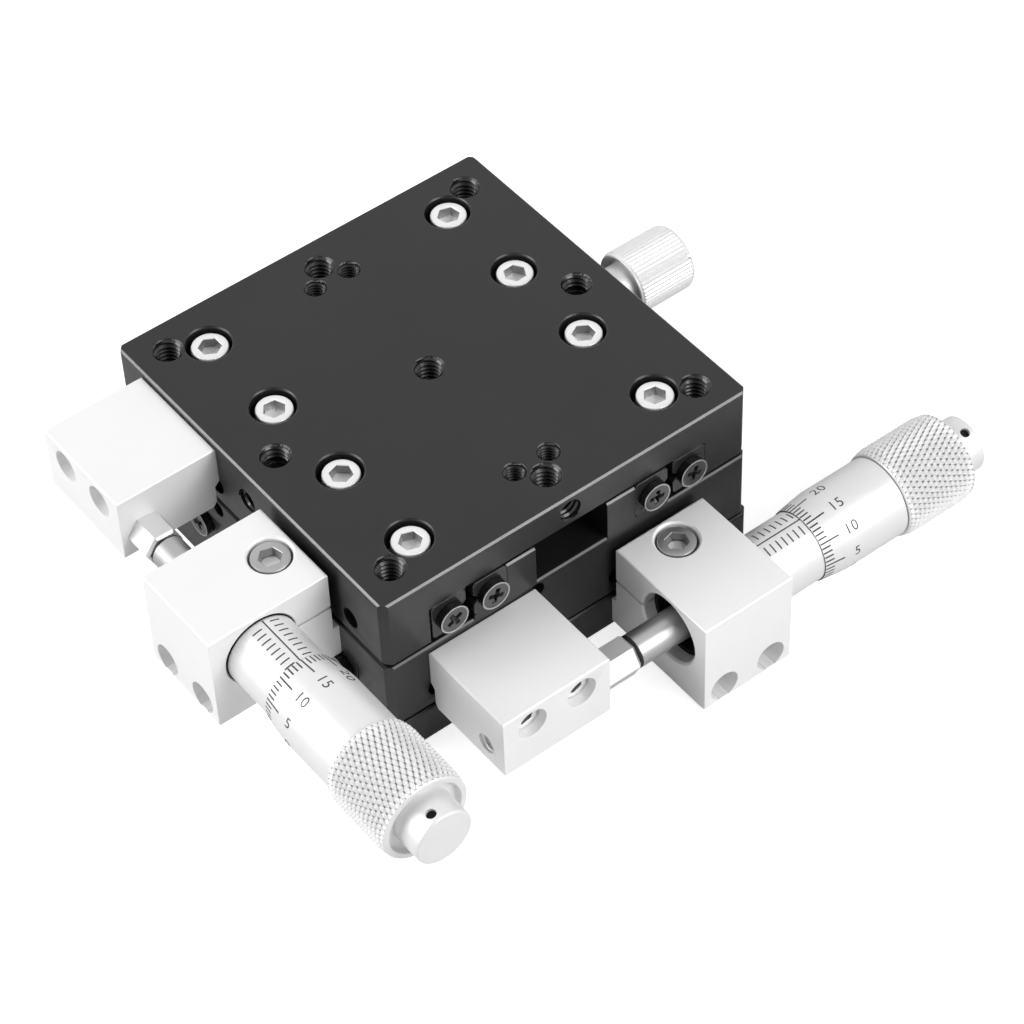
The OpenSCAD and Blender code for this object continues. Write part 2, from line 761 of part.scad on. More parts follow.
// Clamp block: a foot on the plate's side, the rest relieved, a split bore for the sleeve,
// and a pocket underneath that clears the rib and rail of the plate below
module clamp_block(place) {
    b = block_edge;
    r = clamp_relief;
    w = clamp_w;
    z = clamp_z;
    t = clamp_z + clamp_h;
    foot_z = clamp_z + foot_h;
    bore_r = sleeve_r + bore_play;
    pinch_y = -half_side - pinch_out;
    pocket_top = rail_top_z - stage_pitch + pocket_play;
    pocket_l = travel_each_way + pocket_play * 3;
    pocket_end = bearing_y;
    front_x = -clamp_l / 2;
    color(silver) translate([place, 0, 0]) difference() {
        translate([0, -half_side, 0])
            prism_x([[0, z + b], [0, foot_z], [-r, foot_z], [-r, t - b], [-r - b, t], [b - w, t],
                [-w, t - b], [-w, z + b], [b - w, z], [-b, z]], clamp_l);
        end_bevels(clamp_l, plate_side * 2, t, b);
        translate([front_x - overrun, mic_y, axis_z]) along_x(bore_r, clamp_l + overrun * 2);
        for (side = [-1, 1])
            translate([side * (clamp_l / 2 - bore_mouth_h), mic_y, axis_z])
                rotate([0, side * quarter_turn, 0])
                    cylinder(r1 = sleeve_r, r2 = bore_mouth_r + overrun, h = bore_mouth_h + overrun);
        translate([front_x - overrun, mic_y, axis_z - slit_h / 2])
            cube([clamp_l + overrun * 2, axis_out, slit_h]);
        translate([0, pinch_y, t - pinch_drop - head_h]) cylinder(r = pinch_cb_r, h = head_h * 2);
        translate([0, pinch_y, axis_z]) cylinder(r = clear_r, h = clamp_h);
        translate([0, pinch_y, t - pinch_drop - head_h - pinch_l - tap_spare])
            cylinder(r = tap_r, h = clamp_h);
        for (side = [-1, 1]) translate([side * block_pitch / 2, -half_side, clamp_screw_z]) {
            translate([0, -w - overrun, 0]) along_y(block_cb_r, w - clamp_head_in + overrun);
            translate([0, -w, 0]) along_y(small_clear_r, w + overrun);
        }
        translate([front_x - overrun, -half_side - pocket_l, z - overrun])
            cube([pocket_end - place - front_x + overrun, pocket_l + overrun, pocket_top - z + overrun]);
    }
}

module pinch_screw(place) {
    translate([place, -half_side - pinch_out, clamp_z + clamp_h - pinch_drop - head_h])
        large_screw(pinch_l);
}

module y_clamp_block() { lower_fixed() clamp_block(y_clamp_place); }
module y_clamp_screws() { lower_fixed() block_screws(y_clamp_place, clamp_screw_z, clamp_head_in); }
module y_pinch_screw() { lower_fixed() pinch_screw(y_clamp_place); }
module x_clamp_block() { upper_fixed() clamp_block(x_clamp_place); }
module x_clamp_screws() { upper_fixed() block_screws(x_clamp_place, clamp_screw_z, clamp_head_in); }
module x_pinch_screw() { upper_fixed() pinch_screw(x_clamp_place); }

// A turned piece along X from an outline of distances and radii
module turned(points) {
    rotate([0, quarter_turn, 0]) rotate_extrude() polygon([for (p = points) [p[1], p[0]]]);
}

// Sleeve, from its front end: the spindle's bore, then the nut's bore
module sleeve() {
    bore = spindle_r + spindle_play;
    nut = screw_r + spindle_play;
    edge = edge_chamfer;
    color(silver) turned([[0, bore], [0, sleeve_r - edge], [edge, sleeve_r], [sleeve_l - edge, sleeve_r],
        [sleeve_l, sleeve_r - edge], [sleeve_l, nut], [front_bore_l, nut], [front_bore_l, bore]]);
}

// Spindle, from its tip: measuring face, plain shank, screw, tail in the thimble's end
module spindle(thimble_start) {
    e = tip_bevel;
    grip_end = thimble_start + head_l;
    tail_start = grip_end - end_wall;
    color(steel) turned([[tip_gap, 0], [tip_gap, spindle_r - e], [tip_gap + e, spindle_r],
        [screw_start, spindle_r], [screw_start, screw_r], [tail_start, screw_r], [tail_start, tail_r],
        [grip_end + cap_l / 2, tail_r], [grip_end + cap_l / 2, 0]]);
}

// Thimble, from its front edge: bevelled edge, barrel, knurled grip, recessed end
module thimble() {
    bore = sleeve_r + thimble_play;
    lip = bore + thimble_lip;
    g = head_l - grip_l;
    c = grip_chamfer;
    rim_r = cap_r + (grip_r - cap_r) * half_share;
    color(silver) turned([[0, bore], [0, lip], [bevel_l, thimble_r], [g, thimble_r],
        [g + grip_r - thimble_r, grip_r], [head_l - c, grip_r], [head_l, grip_r - c],
        [head_l, rim_r + rim_depth], [head_l - rim_depth, rim_r],
        [head_l - rim_depth, tail_r + tail_play], [head_l - end_wall, tail_r + tail_play],
        [head_l - end_wall, bore]]);
}

// End cap on the spindle's tail, from the thimble's front edge, with its small side hole
module end_cap(hole_turn) {
    s = head_l - rim_depth;
    t = head_l + cap_l;
    seat = head_l + cap_l / 2 + tail_play;
    e = cap_edge;
    bow = e * (1 - 1 / sqrt(2));
    color(silver) difference() {
        turned([[s, tail_r + tail_play], [s, cap_r], [t - e, cap_r], [t - bow, cap_r - bow],
            [t, cap_r - e], [t, 0], [seat, 0], [seat, tail_r + tail_play]]);
        rotate([hole_turn, 0, 0])
            translate([head_l + cap_hole_out, 0, cap_r - cap_hole_h]) cylinder(r = cap_hole_r, h = cap_r);
    }
}

module lower_sleeve_place() {
    lower_fixed() translate([y_clamp_place - clamp_l / 2 + sleeve_recess, mic_y, axis_z]) children();
}
module upper_sleeve_place() {
    upper_fixed() translate([x_clamp_place - clamp_l / 2 + sleeve_recess, mic_y, axis_z]) children();
}
module lower_tip_place() {
    lower_moving() translate([y_stop_place + stop_l / 2 + y_anvil_l, mic_y, axis_z]) children();
}
module upper_tip_place() {
    upper_moving() translate([x_stop_place + stop_l / 2 + x_anvil_l, mic_y, axis_z]) children();
}

module lower_thimble_place() { lower_tip_place() translate([y_thimble_start, 0, 0]) children(); }
module upper_thimble_place() { upper_tip_place() translate([x_thimble_start, 0, 0]) children(); }

module y_sleeve() { lower_sleeve_place() sleeve(); }
module y_spindle() { lower_tip_place() spindle(y_thimble_start); }
module y_thimble() { lower_thimble_place() thimble(); }
module y_end_cap() { lower_thimble_place() end_cap(y_cap_hole_turn); }
module x_sleeve() { upper_sleeve_place() sleeve(); }
module x_spindle() { upper_tip_place() spindle(x_thimble_start); }
module x_thimble() { upper_thimble_place() thimble(); }
module x_end_cap() { upper_thimble_place() end_cap(x_cap_hole_turn); }

// A spring is one wire: hook, curls, hook. Each station is a point and the wire's outward side
function curl_station(a, from, to) = let (turn = a * 360)
    [[from + (to - from) * a / curls, coil_r * cos(turn), coil_r * sin(turn)], [0, cos(turn), sin(turn)]];
function hook_station(centre, a, way) =
    [[centre + way * coil_r * cos(a), coil_r * sin(a), 0], [way * cos(a), sin(a), 0]];
function hook(centre, way) =
    [for (i = [0:hook_steps]) hook_station(centre, quarter_turn - hook_end * i / hook_steps, way)];
function reversed(list) = [for (i = [len(list) - 1:-1:0]) list[i]];
function spring_stations(a, b) = let (
    left = a - post_r - wire_r - hook_gap + coil_r,
    right = b + post_r + wire_r + hook_gap - coil_r,
    from = left + hook_straight,
    to = right - hook_straight)
    concat(
        reversed(hook(left, -1)),
        [for (i = [0:curls * curl_steps]) curl_station(i / curl_steps, from, to)],
        hook(right, 1));

function spring_ring(stations, i) = let (
    last = len(stations) - 1,
    before = stations[i == 0 ? 0 : i - 1][0],
    after = stations[i == last ? last : i + 1][0],
    along = (after - before) / norm(after - before),
    out = stations[i][1],
    across = cross(along, out))
    [for (k = [0:wire_sides - 1]) let (turn = 360 * k / wire_sides)
        stations[i][0] + wire_r * (cos(turn) * out + sin(turn) * across / norm(across))];

module swept_wire(stations) {
    count = len(stations);
    rings = [for (i = [0:count - 1]) each spring_ring(stations, i)];
    n = wire_sides;
    sides = [for (i = [0:count - 2], k = [0:n - 1]) let (p = i * n + k, q = i * n + (k + 1) % n)
        each [[p, p + n, q + n], [p, q + n, q]]];
    start_cap = [for (k = [1:n - 2]) [0, k, k + 1]];
    end_cap = [for (k = [1:n - 2]) let (o = (count - 1) * n) [o, o + k + 1, o + k]];
    polyhedron(rings, concat(sides, start_cap, end_cap));
}

// Least clear gap of the wire to itself, over stations more than half a curl apart
function least_gap(stations) = min([for (i = [0:len(stations) - 1], j = [i + curl_steps / 2:len(stations) - 1])
    if (norm(stations[i][0] - stations[j][0]) > 0) norm(stations[i][0] - stations[j][0])]) - wire_r * 2;

module spring(position) {
    stations = spring_stations(-post_x + position, post_x);
    color(steel) translate([0, 0, spring_z]) swept_wire(stations);
}

module y_spring() { lower_fixed() spring(y_position); }
module x_spring() { upper_fixed() spring(x_position); }

module fixed_post() {
    color(steel) translate([post_x, 0, floor_h - post_in])
        cylinder(r = post_r, h = spring_z + post_past - floor_h + post_in);
}

module moving_post() {
    color(steel) translate([-post_x, 0, spring_z - post_past])
        cylinder(r = post_r, h = web_z + post_in - spring_z + post_past);
}

module base_spring_post() { lower_fixed() fixed_post(); }
module saddle_lower_spring_post() { lower_moving() moving_post(); }
module saddle_upper_spring_post() { upper_fixed() fixed_post(); }
module table_spring_post() { upper_moving() moving_post(); }

// Straight-knurled knob: a toothed middle between two turned rims
module knob_body() {
    steps = knob_teeth * 2;
    root_r = knob_r - knob_tooth;
    function tooth_r(i) = i % 2 == 0 ? knob_r : root_r;
    translate([0, 0, knob_edge]) linear_extrude(knob_l - knob_edge * 2)
        polygon([for (i = [0:steps - 1]) let (a = 360 * i / steps) tooth_r(i) * [cos(a), sin(a)]]);
    rotate_extrude()
        polygon([[0, 0], [root_r - knob_edge, 0], [root_r, knob_edge], [root_r, knob_l - knob_edge],
            [root_r - knob_edge, knob_l], [0, knob_l]]);
}

module lock_screw() {
    tip_y = outer_back + lock_tip_in;
    color(silver) upper_moving() translate([0, 0, lock_side_z]) difference() {
        union() {
            translate([0, tip_y, 0]) along_y(lock_r, half_side - tip_y + overrun);
            translate([0, half_side + tip_gap, 0]) along_y(collar_r, collar_l);
            translate([0, half_side + collar_l, 0]) rotate([-quarter_turn, 0, 0]) knob_body();
        }
        translate([0, half_side + collar_l + knob_l, 0])
            rotate([0, -knob_slot_turn, 0])
                cube([knob_r * 3, knob_slot_h * 2, knob_slot_w], center = true);
    }
}

module lock_pin() {
    start_y = bearing_y - rail_gap / 2 + pin_gap;
    color(brass) upper_moving() translate([0, start_y, lock_side_z])
        along_y(pin_r, outer_back + lock_tip_in - tip_gap - start_y);
}

echo(spring_gap = min(least_gap(spring_stations(-post_x + x_position, post_x)),
    least_gap(spring_stations(-post_x + y_position, post_x))));

base_plate();
saddle_plate();
table_plate();
base_rail_left();
base_rail_right();
saddle_lower_rail_left();
saddle_lower_rail_right();
saddle_upper_rail_front();
saddle_upper_rail_back();
table_rail_front();
table_rail_back();
y_cage_left();
y_cage_right();
x_cage_front();
x_cage_back();
y_rollers_left();
y_rollers_right();
x_rollers_front();
x_rollers_back();
base_rail_screws();
saddle_lower_rail_screws();
saddle_upper_rail_screws();
table_rail_screws();
base_end_screws();
saddle_lower_end_screws();
saddle_upper_end_screws();
table_end_screws();
saddle_preload_screws();
table_preload_screws();
y_stop_block();
y_stop_screws();
y_anvil();
x_stop_block();
x_stop_screws();
x_anvil();
y_clamp_block();
y_clamp_screws();
y_pinch_screw();
x_clamp_block();
x_clamp_screws();
x_pinch_screw();
y_sleeve();
y_spindle();
y_thimble();
y_end_cap();
x_sleeve();
x_spindle();
x_thimble();
x_end_cap();
y_spring();
x_spring();
base_spring_post();
saddle_lower_spring_post();
saddle_upper_spring_post();
table_spring_post();
lock_screw();
lock_pin();
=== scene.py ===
import json
import math
from collections import namedtuple

import bmesh
import bpy
import numpy as np
from mathutils import Matrix, Vector

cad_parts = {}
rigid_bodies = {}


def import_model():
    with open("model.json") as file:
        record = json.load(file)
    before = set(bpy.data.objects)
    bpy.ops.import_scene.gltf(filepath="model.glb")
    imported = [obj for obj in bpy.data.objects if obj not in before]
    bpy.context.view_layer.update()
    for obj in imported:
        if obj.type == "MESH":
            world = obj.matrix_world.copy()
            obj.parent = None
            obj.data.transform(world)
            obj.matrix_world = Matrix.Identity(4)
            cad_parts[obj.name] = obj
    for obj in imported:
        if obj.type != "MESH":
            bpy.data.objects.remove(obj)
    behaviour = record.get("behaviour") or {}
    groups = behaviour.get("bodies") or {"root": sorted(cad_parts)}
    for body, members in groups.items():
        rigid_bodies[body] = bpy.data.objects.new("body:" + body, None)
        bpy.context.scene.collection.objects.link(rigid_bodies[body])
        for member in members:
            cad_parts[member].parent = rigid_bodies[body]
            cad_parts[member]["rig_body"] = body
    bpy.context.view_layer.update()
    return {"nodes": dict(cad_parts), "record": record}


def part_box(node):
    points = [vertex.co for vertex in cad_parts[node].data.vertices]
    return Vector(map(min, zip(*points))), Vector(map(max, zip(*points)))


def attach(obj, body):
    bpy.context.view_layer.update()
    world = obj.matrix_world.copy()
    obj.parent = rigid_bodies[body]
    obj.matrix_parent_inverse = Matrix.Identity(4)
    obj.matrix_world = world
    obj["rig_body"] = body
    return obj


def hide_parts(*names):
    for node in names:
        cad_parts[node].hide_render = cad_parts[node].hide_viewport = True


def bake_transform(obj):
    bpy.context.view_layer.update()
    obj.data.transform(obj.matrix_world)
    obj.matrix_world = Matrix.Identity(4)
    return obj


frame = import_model()
MM = 0.001

# Sizes and places repeated from part.scad, in millimetres
X_POSITION, Y_POSITION = -0.2, -0.55
STAGE_PITCH = 12.0
HALF = 30.0
TOP_Z = 18.0
MIC_Y = -41.7
AXIS_Z = 9.8
HEAD_L = 26.1
RAIL_HOLES = (-22.5, -7.5, 7.5, 22.5)
RAIL_HOLE_Y = 20.1
SEAT_Z = TOP_Z - 3.6
FIXED_RAIL_Y, MOVING_RAIL_Y = 13.35, 19.85
RAIL_END_Z = 9.7
STOP_L = 17.3
STOP_SCREW_Z, CLAMP_SCREW_Z = 13.85, 2.6
STOP_SCREW_OUT, CLAMP_SCREW_OUT = 11.1, 7.3
BLOCK_SCREW_IN = 5.6
BLOCK_SCREW_X = 4
PINCH_Y, PINCH_SEAT_Z = -34.6, 12.7
LOCK_Z = TOP_Z - 5.2
END_HOLE_Z = TOP_Z - 2.56
COLLAR_L, KNOB_L = 2.8, 9.5
KNOB_SLOT_TURN = 36

# Radius at which the fan of a closed end starts
CORE = 0.01


def shift(x=0.0, y=0.0, z=0.0):
    return Matrix.Translation((x, y, z))


def spin(degrees, axis):
    return Matrix.Rotation(math.radians(degrees), 4, axis)


LOWER_FIXED = spin(90, "Z")
LOWER_MOVING = shift(0, Y_POSITION, 0) @ spin(90, "Z")
UPPER_FIXED = shift(0, Y_POSITION, STAGE_PITCH)
UPPER_MOVING = shift(X_POSITION, Y_POSITION, STAGE_PITCH)
FACE_UP = spin(-90, "Y")      # a piece made along +X points to +Z
FACE_DOWN = spin(90, "Y")     # +X points to -Z
FACE_FRONT = spin(-90, "Z")   # +X points to -Y
FACE_BACK = spin(90, "Z")     # +X points to +Y
IN_PLACE = Matrix.Identity(4)

# One axis: its bodies, the places of its two sides, where its blocks stand along X, and its micrometer head.
# tip, thimble and sleeve are places along X. datum is the angle of the sleeve's line and zero the division
# on it, outer_mark is the place of the first mark and cap_turn the angle of the cap's hole.
Axis = namedtuple("Axis", "name fixed_body moving_body thimble_body fixed moving clamp stop "
                          "tip thimble sleeve datum zero outer_mark cap_turn")
X_AXIS = Axis("x", "saddle", "table", "x_thimble_unit", UPPER_FIXED, UPPER_MOVING, clamp=11.9, stop=-15.35,
              tip=-2.2, thimble=30.2, sleeve=5.475, datum=-5.0, zero=15.0, outer_mark=15.1, cap_turn=10.9)
Y_AXIS = Axis("y", "base", "saddle", "y_thimble_unit", LOWER_FIXED, LOWER_MOVING, clamp=13.35, stop=-14.95,
              tip=-0.1, thimble=29.4, sleeve=6.925, datum=-2.0, zero=16.95, outer_mark=14.85, cap_turn=18.6)


# Materials

# Sockets of a Mix node that is set to colours
MIX_A, MIX_B, MIX_RESULT = 6, 7, 2
COLOUR_SCALE, ROUGHNESS_SCALE = 90.0, 300.0
GRAIN_HEIGHT = 0.00002


def material(name, colour, metallic, roughness, vary, specular=0.5, swing=0.04, grain=0.0,
             grain_scale=5000.0):
    """A plain finish, a little uneven in its colour and gloss and, with grain, in its surface."""
    m = bpy.data.materials.new(name)
    m.use_nodes = True
    nodes, links = m.node_tree.nodes, m.node_tree.links
    shader = nodes["Principled BSDF"]
    shader.inputs["Base Color"].default_value = (*colour, 1)
    shader.inputs["Metallic"].default_value = metallic
    shader.inputs["Roughness"].default_value = roughness
    shader.inputs["Specular IOR Level"].default_value = specular
    place = nodes.new("ShaderNodeTexCoord")

    def noise(scale, detail):
        texture = nodes.new("ShaderNodeTexNoise")
        texture.inputs["Scale"].default_value = scale
        texture.inputs["Detail"].default_value = detail
        links.new(place.outputs["Object"], texture.inputs["Vector"])
        return texture.outputs["Fac"]

    def spread(source, low, high):
        node = nodes.new("ShaderNodeMapRange")
        for key, value in (("From Min", 0.3), ("From Max", 0.7), ("To Min", low), ("To Max", high)):
            node.inputs[key].default_value = value
        links.new(source, node.inputs["Value"])
        return node.outputs["Result"]

    mix = nodes.new("ShaderNodeMix")
    mix.data_type = "RGBA"
    links.new(spread(noise(COLOUR_SCALE, 4.0), 0.0, 1.0), mix.inputs["Factor"])
    mix.inputs[MIX_A].default_value = (*(c * (1 - vary) for c in colour), 1)
    mix.inputs[MIX_B].default_value = (*(min(1.0, c * (1 + vary)) for c in colour), 1)
    links.new(mix.outputs[MIX_RESULT], shader.inputs["Base Color"])
    gloss = spread(noise(ROUGHNESS_SCALE, 3.0), roughness - swing, roughness + swing)
    links.new(gloss, shader.inputs["Roughness"])
    if grain:
        bump = nodes.new("ShaderNodeBump")
        bump.inputs["Strength"].default_value = grain
        bump.inputs["Distance"].default_value = GRAIN_HEIGHT
        links.new(noise(grain_scale, 3.0), bump.inputs["Height"])
        links.new(bump.outputs["Normal"], shader.inputs["Normal"])
    return m


ANODISED = material("black_anodised", (0.010, 0.010, 0.0104), 0.0, 0.34, 0.12, grain=0.25, grain_scale=7000.0)
# A lighter paint for the plates' outer chamfers round the top: a painted highlight.
EDGE_HIGHLIGHT = material("anodised_edge", (0.075, 0.075, 0.077), 0.1, 0.3, 0.12, specular=0.8, grain=0.2)
THREAD = material("anodised_thread", (0.012, 0.012, 0.013), 0.0, 0.22, 0.1, specular=0.6)
SATIN = material("silver_anodised", (0.89, 0.89, 0.892), 0.15, 0.45, 0.012, specular=0.4, grain=0.35,
                 grain_scale=9000.0)
CHROME = material("satin_chrome", (0.81, 0.81, 0.813), 0.35, 0.42, 0.012, grain=0.12, grain_scale=4000.0)
POLISHED = material("polished_steel", (0.50, 0.50, 0.505), 1.0, 0.40, 0.03, swing=0.03)
RAIL = material("rail_steel", (0.03, 0.03, 0.032), 0.3, 0.26, 0.12, grain=0.1)
BLACKENED = material("blackened_steel", (0.02, 0.02, 0.021), 0.4, 0.2, 0.15)
DISC = material("screw_face", (0.09, 0.09, 0.091), 0.7, 0.3, 0.1, grain=0.15)
SCREW = material("screw_steel", (0.92, 0.92, 0.922), 0.45, 0.34, 0.02, grain=0.1)
# A darker grey for the linings of the screws' hex sockets: painted shade.
SOCKET_SHADE = material("socket_wall", (0.3, 0.3, 0.303), 0.8, 0.35, 0.15, grain=0.1)
# A lighter steel for the edge of the cross-slotted screws' faces: a painted highlight.
RIM_HIGHLIGHT = material("screw_rim", (0.42, 0.42, 0.425), 0.9, 0.28, 0.1)
ANVIL = material("hardened_stud", (0.66, 0.66, 0.664), 0.6, 0.42, 0.03)
# Greys for the knurl's grooves and pits, darker than the chrome: painted shade in the creases.
GROOVE_SHADE = material("knurl_groove", (0.70, 0.70, 0.703), 0.4, 0.42, 0.05)
PIT_SHADE = material("knurl_pit", (0.27, 0.27, 0.272), 0.5, 0.5, 0.1)
BRASS = material("brass", (0.62, 0.45, 0.18), 1.0, 0.3, 0.06)
WIRE = material("spring_steel", (0.45, 0.45, 0.46), 1.0, 0.25, 0.05)
INK = material("engraving_paint", (0.05, 0.05, 0.052), 0.0, 0.6, 0.1, grain=0.1)
# Near-black paint for rings and discs set in gaps and hollows where there is only shade: painted shade.
SHADE_PAINT = material("dark_gap", (0.006, 0.006, 0.006), 0.0, 0.7, 0.1, specular=0.2)


# Shapes, as (points, faces) in millimetres

def angles(steps):
    return np.linspace(0, 2 * np.pi, steps, endpoint=False)


def turned(profile, steps=96, closed=False):
    """Rings about the X axis. A profile point is (x, r), and r may be one radius a step."""
    a = angles(steps)
    rings = [np.c_[np.full(steps, float(x)), -np.broadcast_to(r, steps) * np.sin(a),
                   np.broadcast_to(r, steps) * np.cos(a)] for x, r in profile]
    count = len(rings)
    faces = []
    for i in range(count if closed else count - 1):
        here, there = i * steps, (i + 1) % count * steps
        faces += [(here + k, here + (k + 1) % steps, there + (k + 1) % steps, there + k)
                  for k in range(steps)]
    if not closed:
        faces.append(tuple(range(steps))[::-1])
        faces.append(tuple((count - 1) * steps + k for k in range(steps)))
    return np.vstack(rings), faces


def soften(points, radius, steps, closed=False):
    """Rounds the corners of an outline of plain numbers."""
    result, count = [], len(points)
    for i, p in enumerate(points):
        if not closed and i in (0, count - 1):
            result.append(p)
            continue
        p = np.array(p, float)
        before = np.array(points[i - 1], float) - p
        after = np.array(points[(i + 1) % count], float) - p
        near = min(radius, 0.4 * np.linalg.norm(before), 0.4 * np.linalg.norm(after))
        start = p + before / np.linalg.norm(before) * near
        end = p + after / np.linalg.norm(after) * near
        for t in np.linspace(0, 1, steps + 1):
            result.append(tuple((1 - t) ** 2 * start + 2 * t * (1 - t) * p + t * t * end))
    return result


def hexagon(width, steps):
    """One radius a step of a hexagon of that width across its flats."""
    return width / 2 / np.cos(np.radians(np.degrees(angles(steps)) % 60 - 30))


def cross(reach, half_width, steps, turn=0.0):
    """One radius a step of a cross with four arms."""
    off = np.abs((np.degrees(angles(steps)) + turn + 45) % 90 - 45)
    return np.minimum(reach, half_width / np.maximum(np.sin(np.radians(off)), 1e-6))


def tooth(steps, count, depth, base):
    """One radius a step of a circle with rounded grooves."""
    return base - depth * (0.5 - 0.5 * np.cos(angles(steps) * count))


def box_strip(sections):
    """A closed bar through four-cornered sections."""
    verts = np.vstack(sections)
    faces = [(0, 1, 2, 3), tuple(len(verts) - 4 + k for k in (3, 2, 1, 0))]
    for i in range(len(sections) - 1):
        o = 4 * i
        faces += [(o + k, o + 4 + k, o + 4 + (k + 1) % 4, o + (k + 1) % 4) for k in range(4)]
    return verts, faces


def brick(low, high):
    """A box between two corners."""
    (a, b, c), (d, e, f) = low, high
    verts = np.array([(x, y, z) for x in (a, d) for y in (b, e) for z in (c, f)])
    return verts, [(0, 1, 3, 2), (4, 6, 7, 5), (0, 4, 5, 1), (2, 3, 7, 6), (0, 2, 6, 4), (1, 5, 7, 3)]


def on_round(s, r, a):
    """A point on a round surface about X: a degrees from +Z towards -Y."""
    t = math.radians(a)
    return (s, -r * math.sin(t), r * math.cos(t))


def moved(part, place):
    """A shape set at a place."""
    points = np.c_[np.asarray(part[0], float), np.ones(len(part[0]))] @ np.array(place).T
    return points[:, :3], part[1]


def stacked(parts):
    """One shape of several."""
    verts, faces, base = [], [], 0
    for points, polygons in parts:
        verts.append(np.asarray(points, float))
        faces += [tuple(v + base for v in f) for f in polygons]
        base += len(points)
    return np.vstack(verts), faces


# Meshes and objects

def raw(part, place, name="raw"):
    """A plain mesh in metres, with its faces turned outwards."""
    points, faces = part
    mesh = bpy.data.meshes.new(name)
    mesh.from_pydata(points.tolist(), [], faces)
    mesh.transform(Matrix.Scale(MM, 4) @ place)
    bm = bmesh.new()
    bm.from_mesh(mesh)
    bmesh.ops.recalc_face_normals(bm, faces=bm.faces)
    bm.to_mesh(mesh)
    bm.free()
    return mesh


def linked(name, data):
    """A new object in the scene."""
    obj = bpy.data.objects.new(name, data)
    bpy.context.scene.collection.objects.link(obj)
    return obj


def dress(name, mesh, paint, body, sharp, replaces=()):
    """An object that rides on a body. Edges past the sharp angle stay sharp; None changes no shading."""
    if sharp:
        mesh.shade_smooth()
        mesh.set_sharp_from_angle(angle=math.radians(sharp))
    mesh.materials.clear()
    mesh.materials.append(paint)
    obj = linked(name, mesh)
    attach(obj, body)
    if replaces:
        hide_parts(*replaces)
    return obj


def piece(name, parts, paint, body, place, sharp, replaces=()):
    """An object made of several shapes, set in place."""
    return dress(name, raw(stacked(parts), place, name), paint, body, sharp, replaces)


def applied(obj):
    """The object's mesh with its modifiers applied."""
    evaluated = obj.evaluated_get(bpy.context.evaluated_depsgraph_get())
    return bpy.data.meshes.new_from_object(evaluated)


def cut(mesh, cutter):
    """The mesh less another mesh."""
    first, second = linked("first", mesh), linked("second", cutter)
    change = first.modifiers.new("cut", "BOOLEAN")
    change.operation, change.solver, change.object = "DIFFERENCE", "EXACT", second
    result = applied(first)
    for o in (first, second):
        bpy.data.objects.remove(o)
    return result


# Plates, rails and blocks

# How near a corner of the CAD is to a side or to the end of a chamfer, in metres, to count as there
ON_SIDE, AT_CHAMFER = 2e-6, 3e-6
# How far from the top and the sides a face may lie to be part of the top's outer chamfer, which gets the
# painted highlight
HIGHLIGHT_REACH = 0.45 * MM


def rechamfer(bm, old, new):
    """Changes the width of a block's outer chamfers, both in metres."""
    sides = [(min(v.co[k] for v in bm.verts), max(v.co[k] for v in bm.verts)) for k in range(3)]
    for v in bm.verts:
        if any(abs(v.co[k] - side) < ON_SIDE for k in range(3) for side in sides[k]):
            for k in range(3):
                for side, inward in zip(sides[k], (1, -1)):
                    if abs(v.co[k] - side - inward * old) < AT_CHAMFER:
                        v.co[k] = side + inward * new


def level_top(mesh):
    """Gives the top plane one exact normal, as thin triangles there tilt the weighted ones."""
    top = max(v.co.z for v in mesh.vertices)
    normals = [tuple(n.vector) for n in mesh.corner_normals]
    for face in mesh.polygons:
        if face.normal.z > 0.9999 and top - face.center.z < 0.002 * MM:
            for loop in face.loop_indices:
                normals[loop] = (0.0, 0.0, 1.0)
    mesh.normals_split_custom_set(normals)


def paint_top_edges(mesh, paint):
    """Gives the outer chamfers round the top a lighter paint: a painted highlight."""
    low, high = ([pick(v.co[k] for v in mesh.vertices) for k in range(3)] for pick in (min, max))
    mesh.materials.append(paint)
    for face in mesh.polygons:
        c = face.center
        near = min(min(abs(c[k] - low[k]), abs(c[k] - high[k])) for k in (0, 1))
        if high[2] - c.z < HIGHLIGHT_REACH and near < HIGHLIGHT_REACH and 0.3 < face.normal.z < 0.95:
            face.material_index = 1


def eased(node, paint, width, chamfer=None, cutters=(), highlight_paint=None):
    """A copy of a CAD node, cut by the cutters and with its sharp edges broken by a width.

    chamfer holds the CAD's outer chamfer and the wanted one. The last argument, if given, is a lighter paint
    for the chamfers round the top: a painted highlight.
    """
    source = frame["nodes"][node]
    bm = bmesh.new()
    bm.from_mesh(source.data)
    bmesh.ops.remove_doubles(bm, verts=bm.verts, dist=5e-7)
    if chamfer:
        rechamfer(bm, *(c * MM for c in chamfer))
    mesh = bpy.data.meshes.new(node + "_eased")
    bm.to_mesh(mesh)
    bm.free()
    for cutter in cutters:
        mesh = cut(mesh, cutter)
    mesh.shade_smooth()
    obj = linked(node + "_eased", mesh)
    bevel = obj.modifiers.new("edges", "BEVEL")
    bevel.width, bevel.segments = width * MM, 2
    bevel.limit_method, bevel.angle_limit = "ANGLE", math.radians(35)
    bevel.use_clamp_overlap = False
    flats = obj.modifiers.new("flats", "WEIGHTED_NORMAL")
    flats.mode, flats.weight, flats.keep_sharp = "FACE_AREA", 50, False
    result = applied(obj)
    bpy.data.objects.remove(obj)
    level_top(result)
    dress(node + "_eased", result, paint, source["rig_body"], None, (node,))
    # The chamfers round the top get the lighter paint: a painted highlight.
    if highlight_paint:
        paint_top_edges(result, highlight_paint)


def cone(x, y, low, low_r, high, high_r):
    """A round cutter about Z, from one height and radius to another."""
    profile = [(low, CORE), (low, low_r), (high, high_r), (high, CORE)]
    return moved(turned(profile, 64), shift(x, y, 0) @ FACE_UP)


def cutting(parts, place):
    """One cutter mesh of several shapes."""
    return raw(stacked(parts), place)


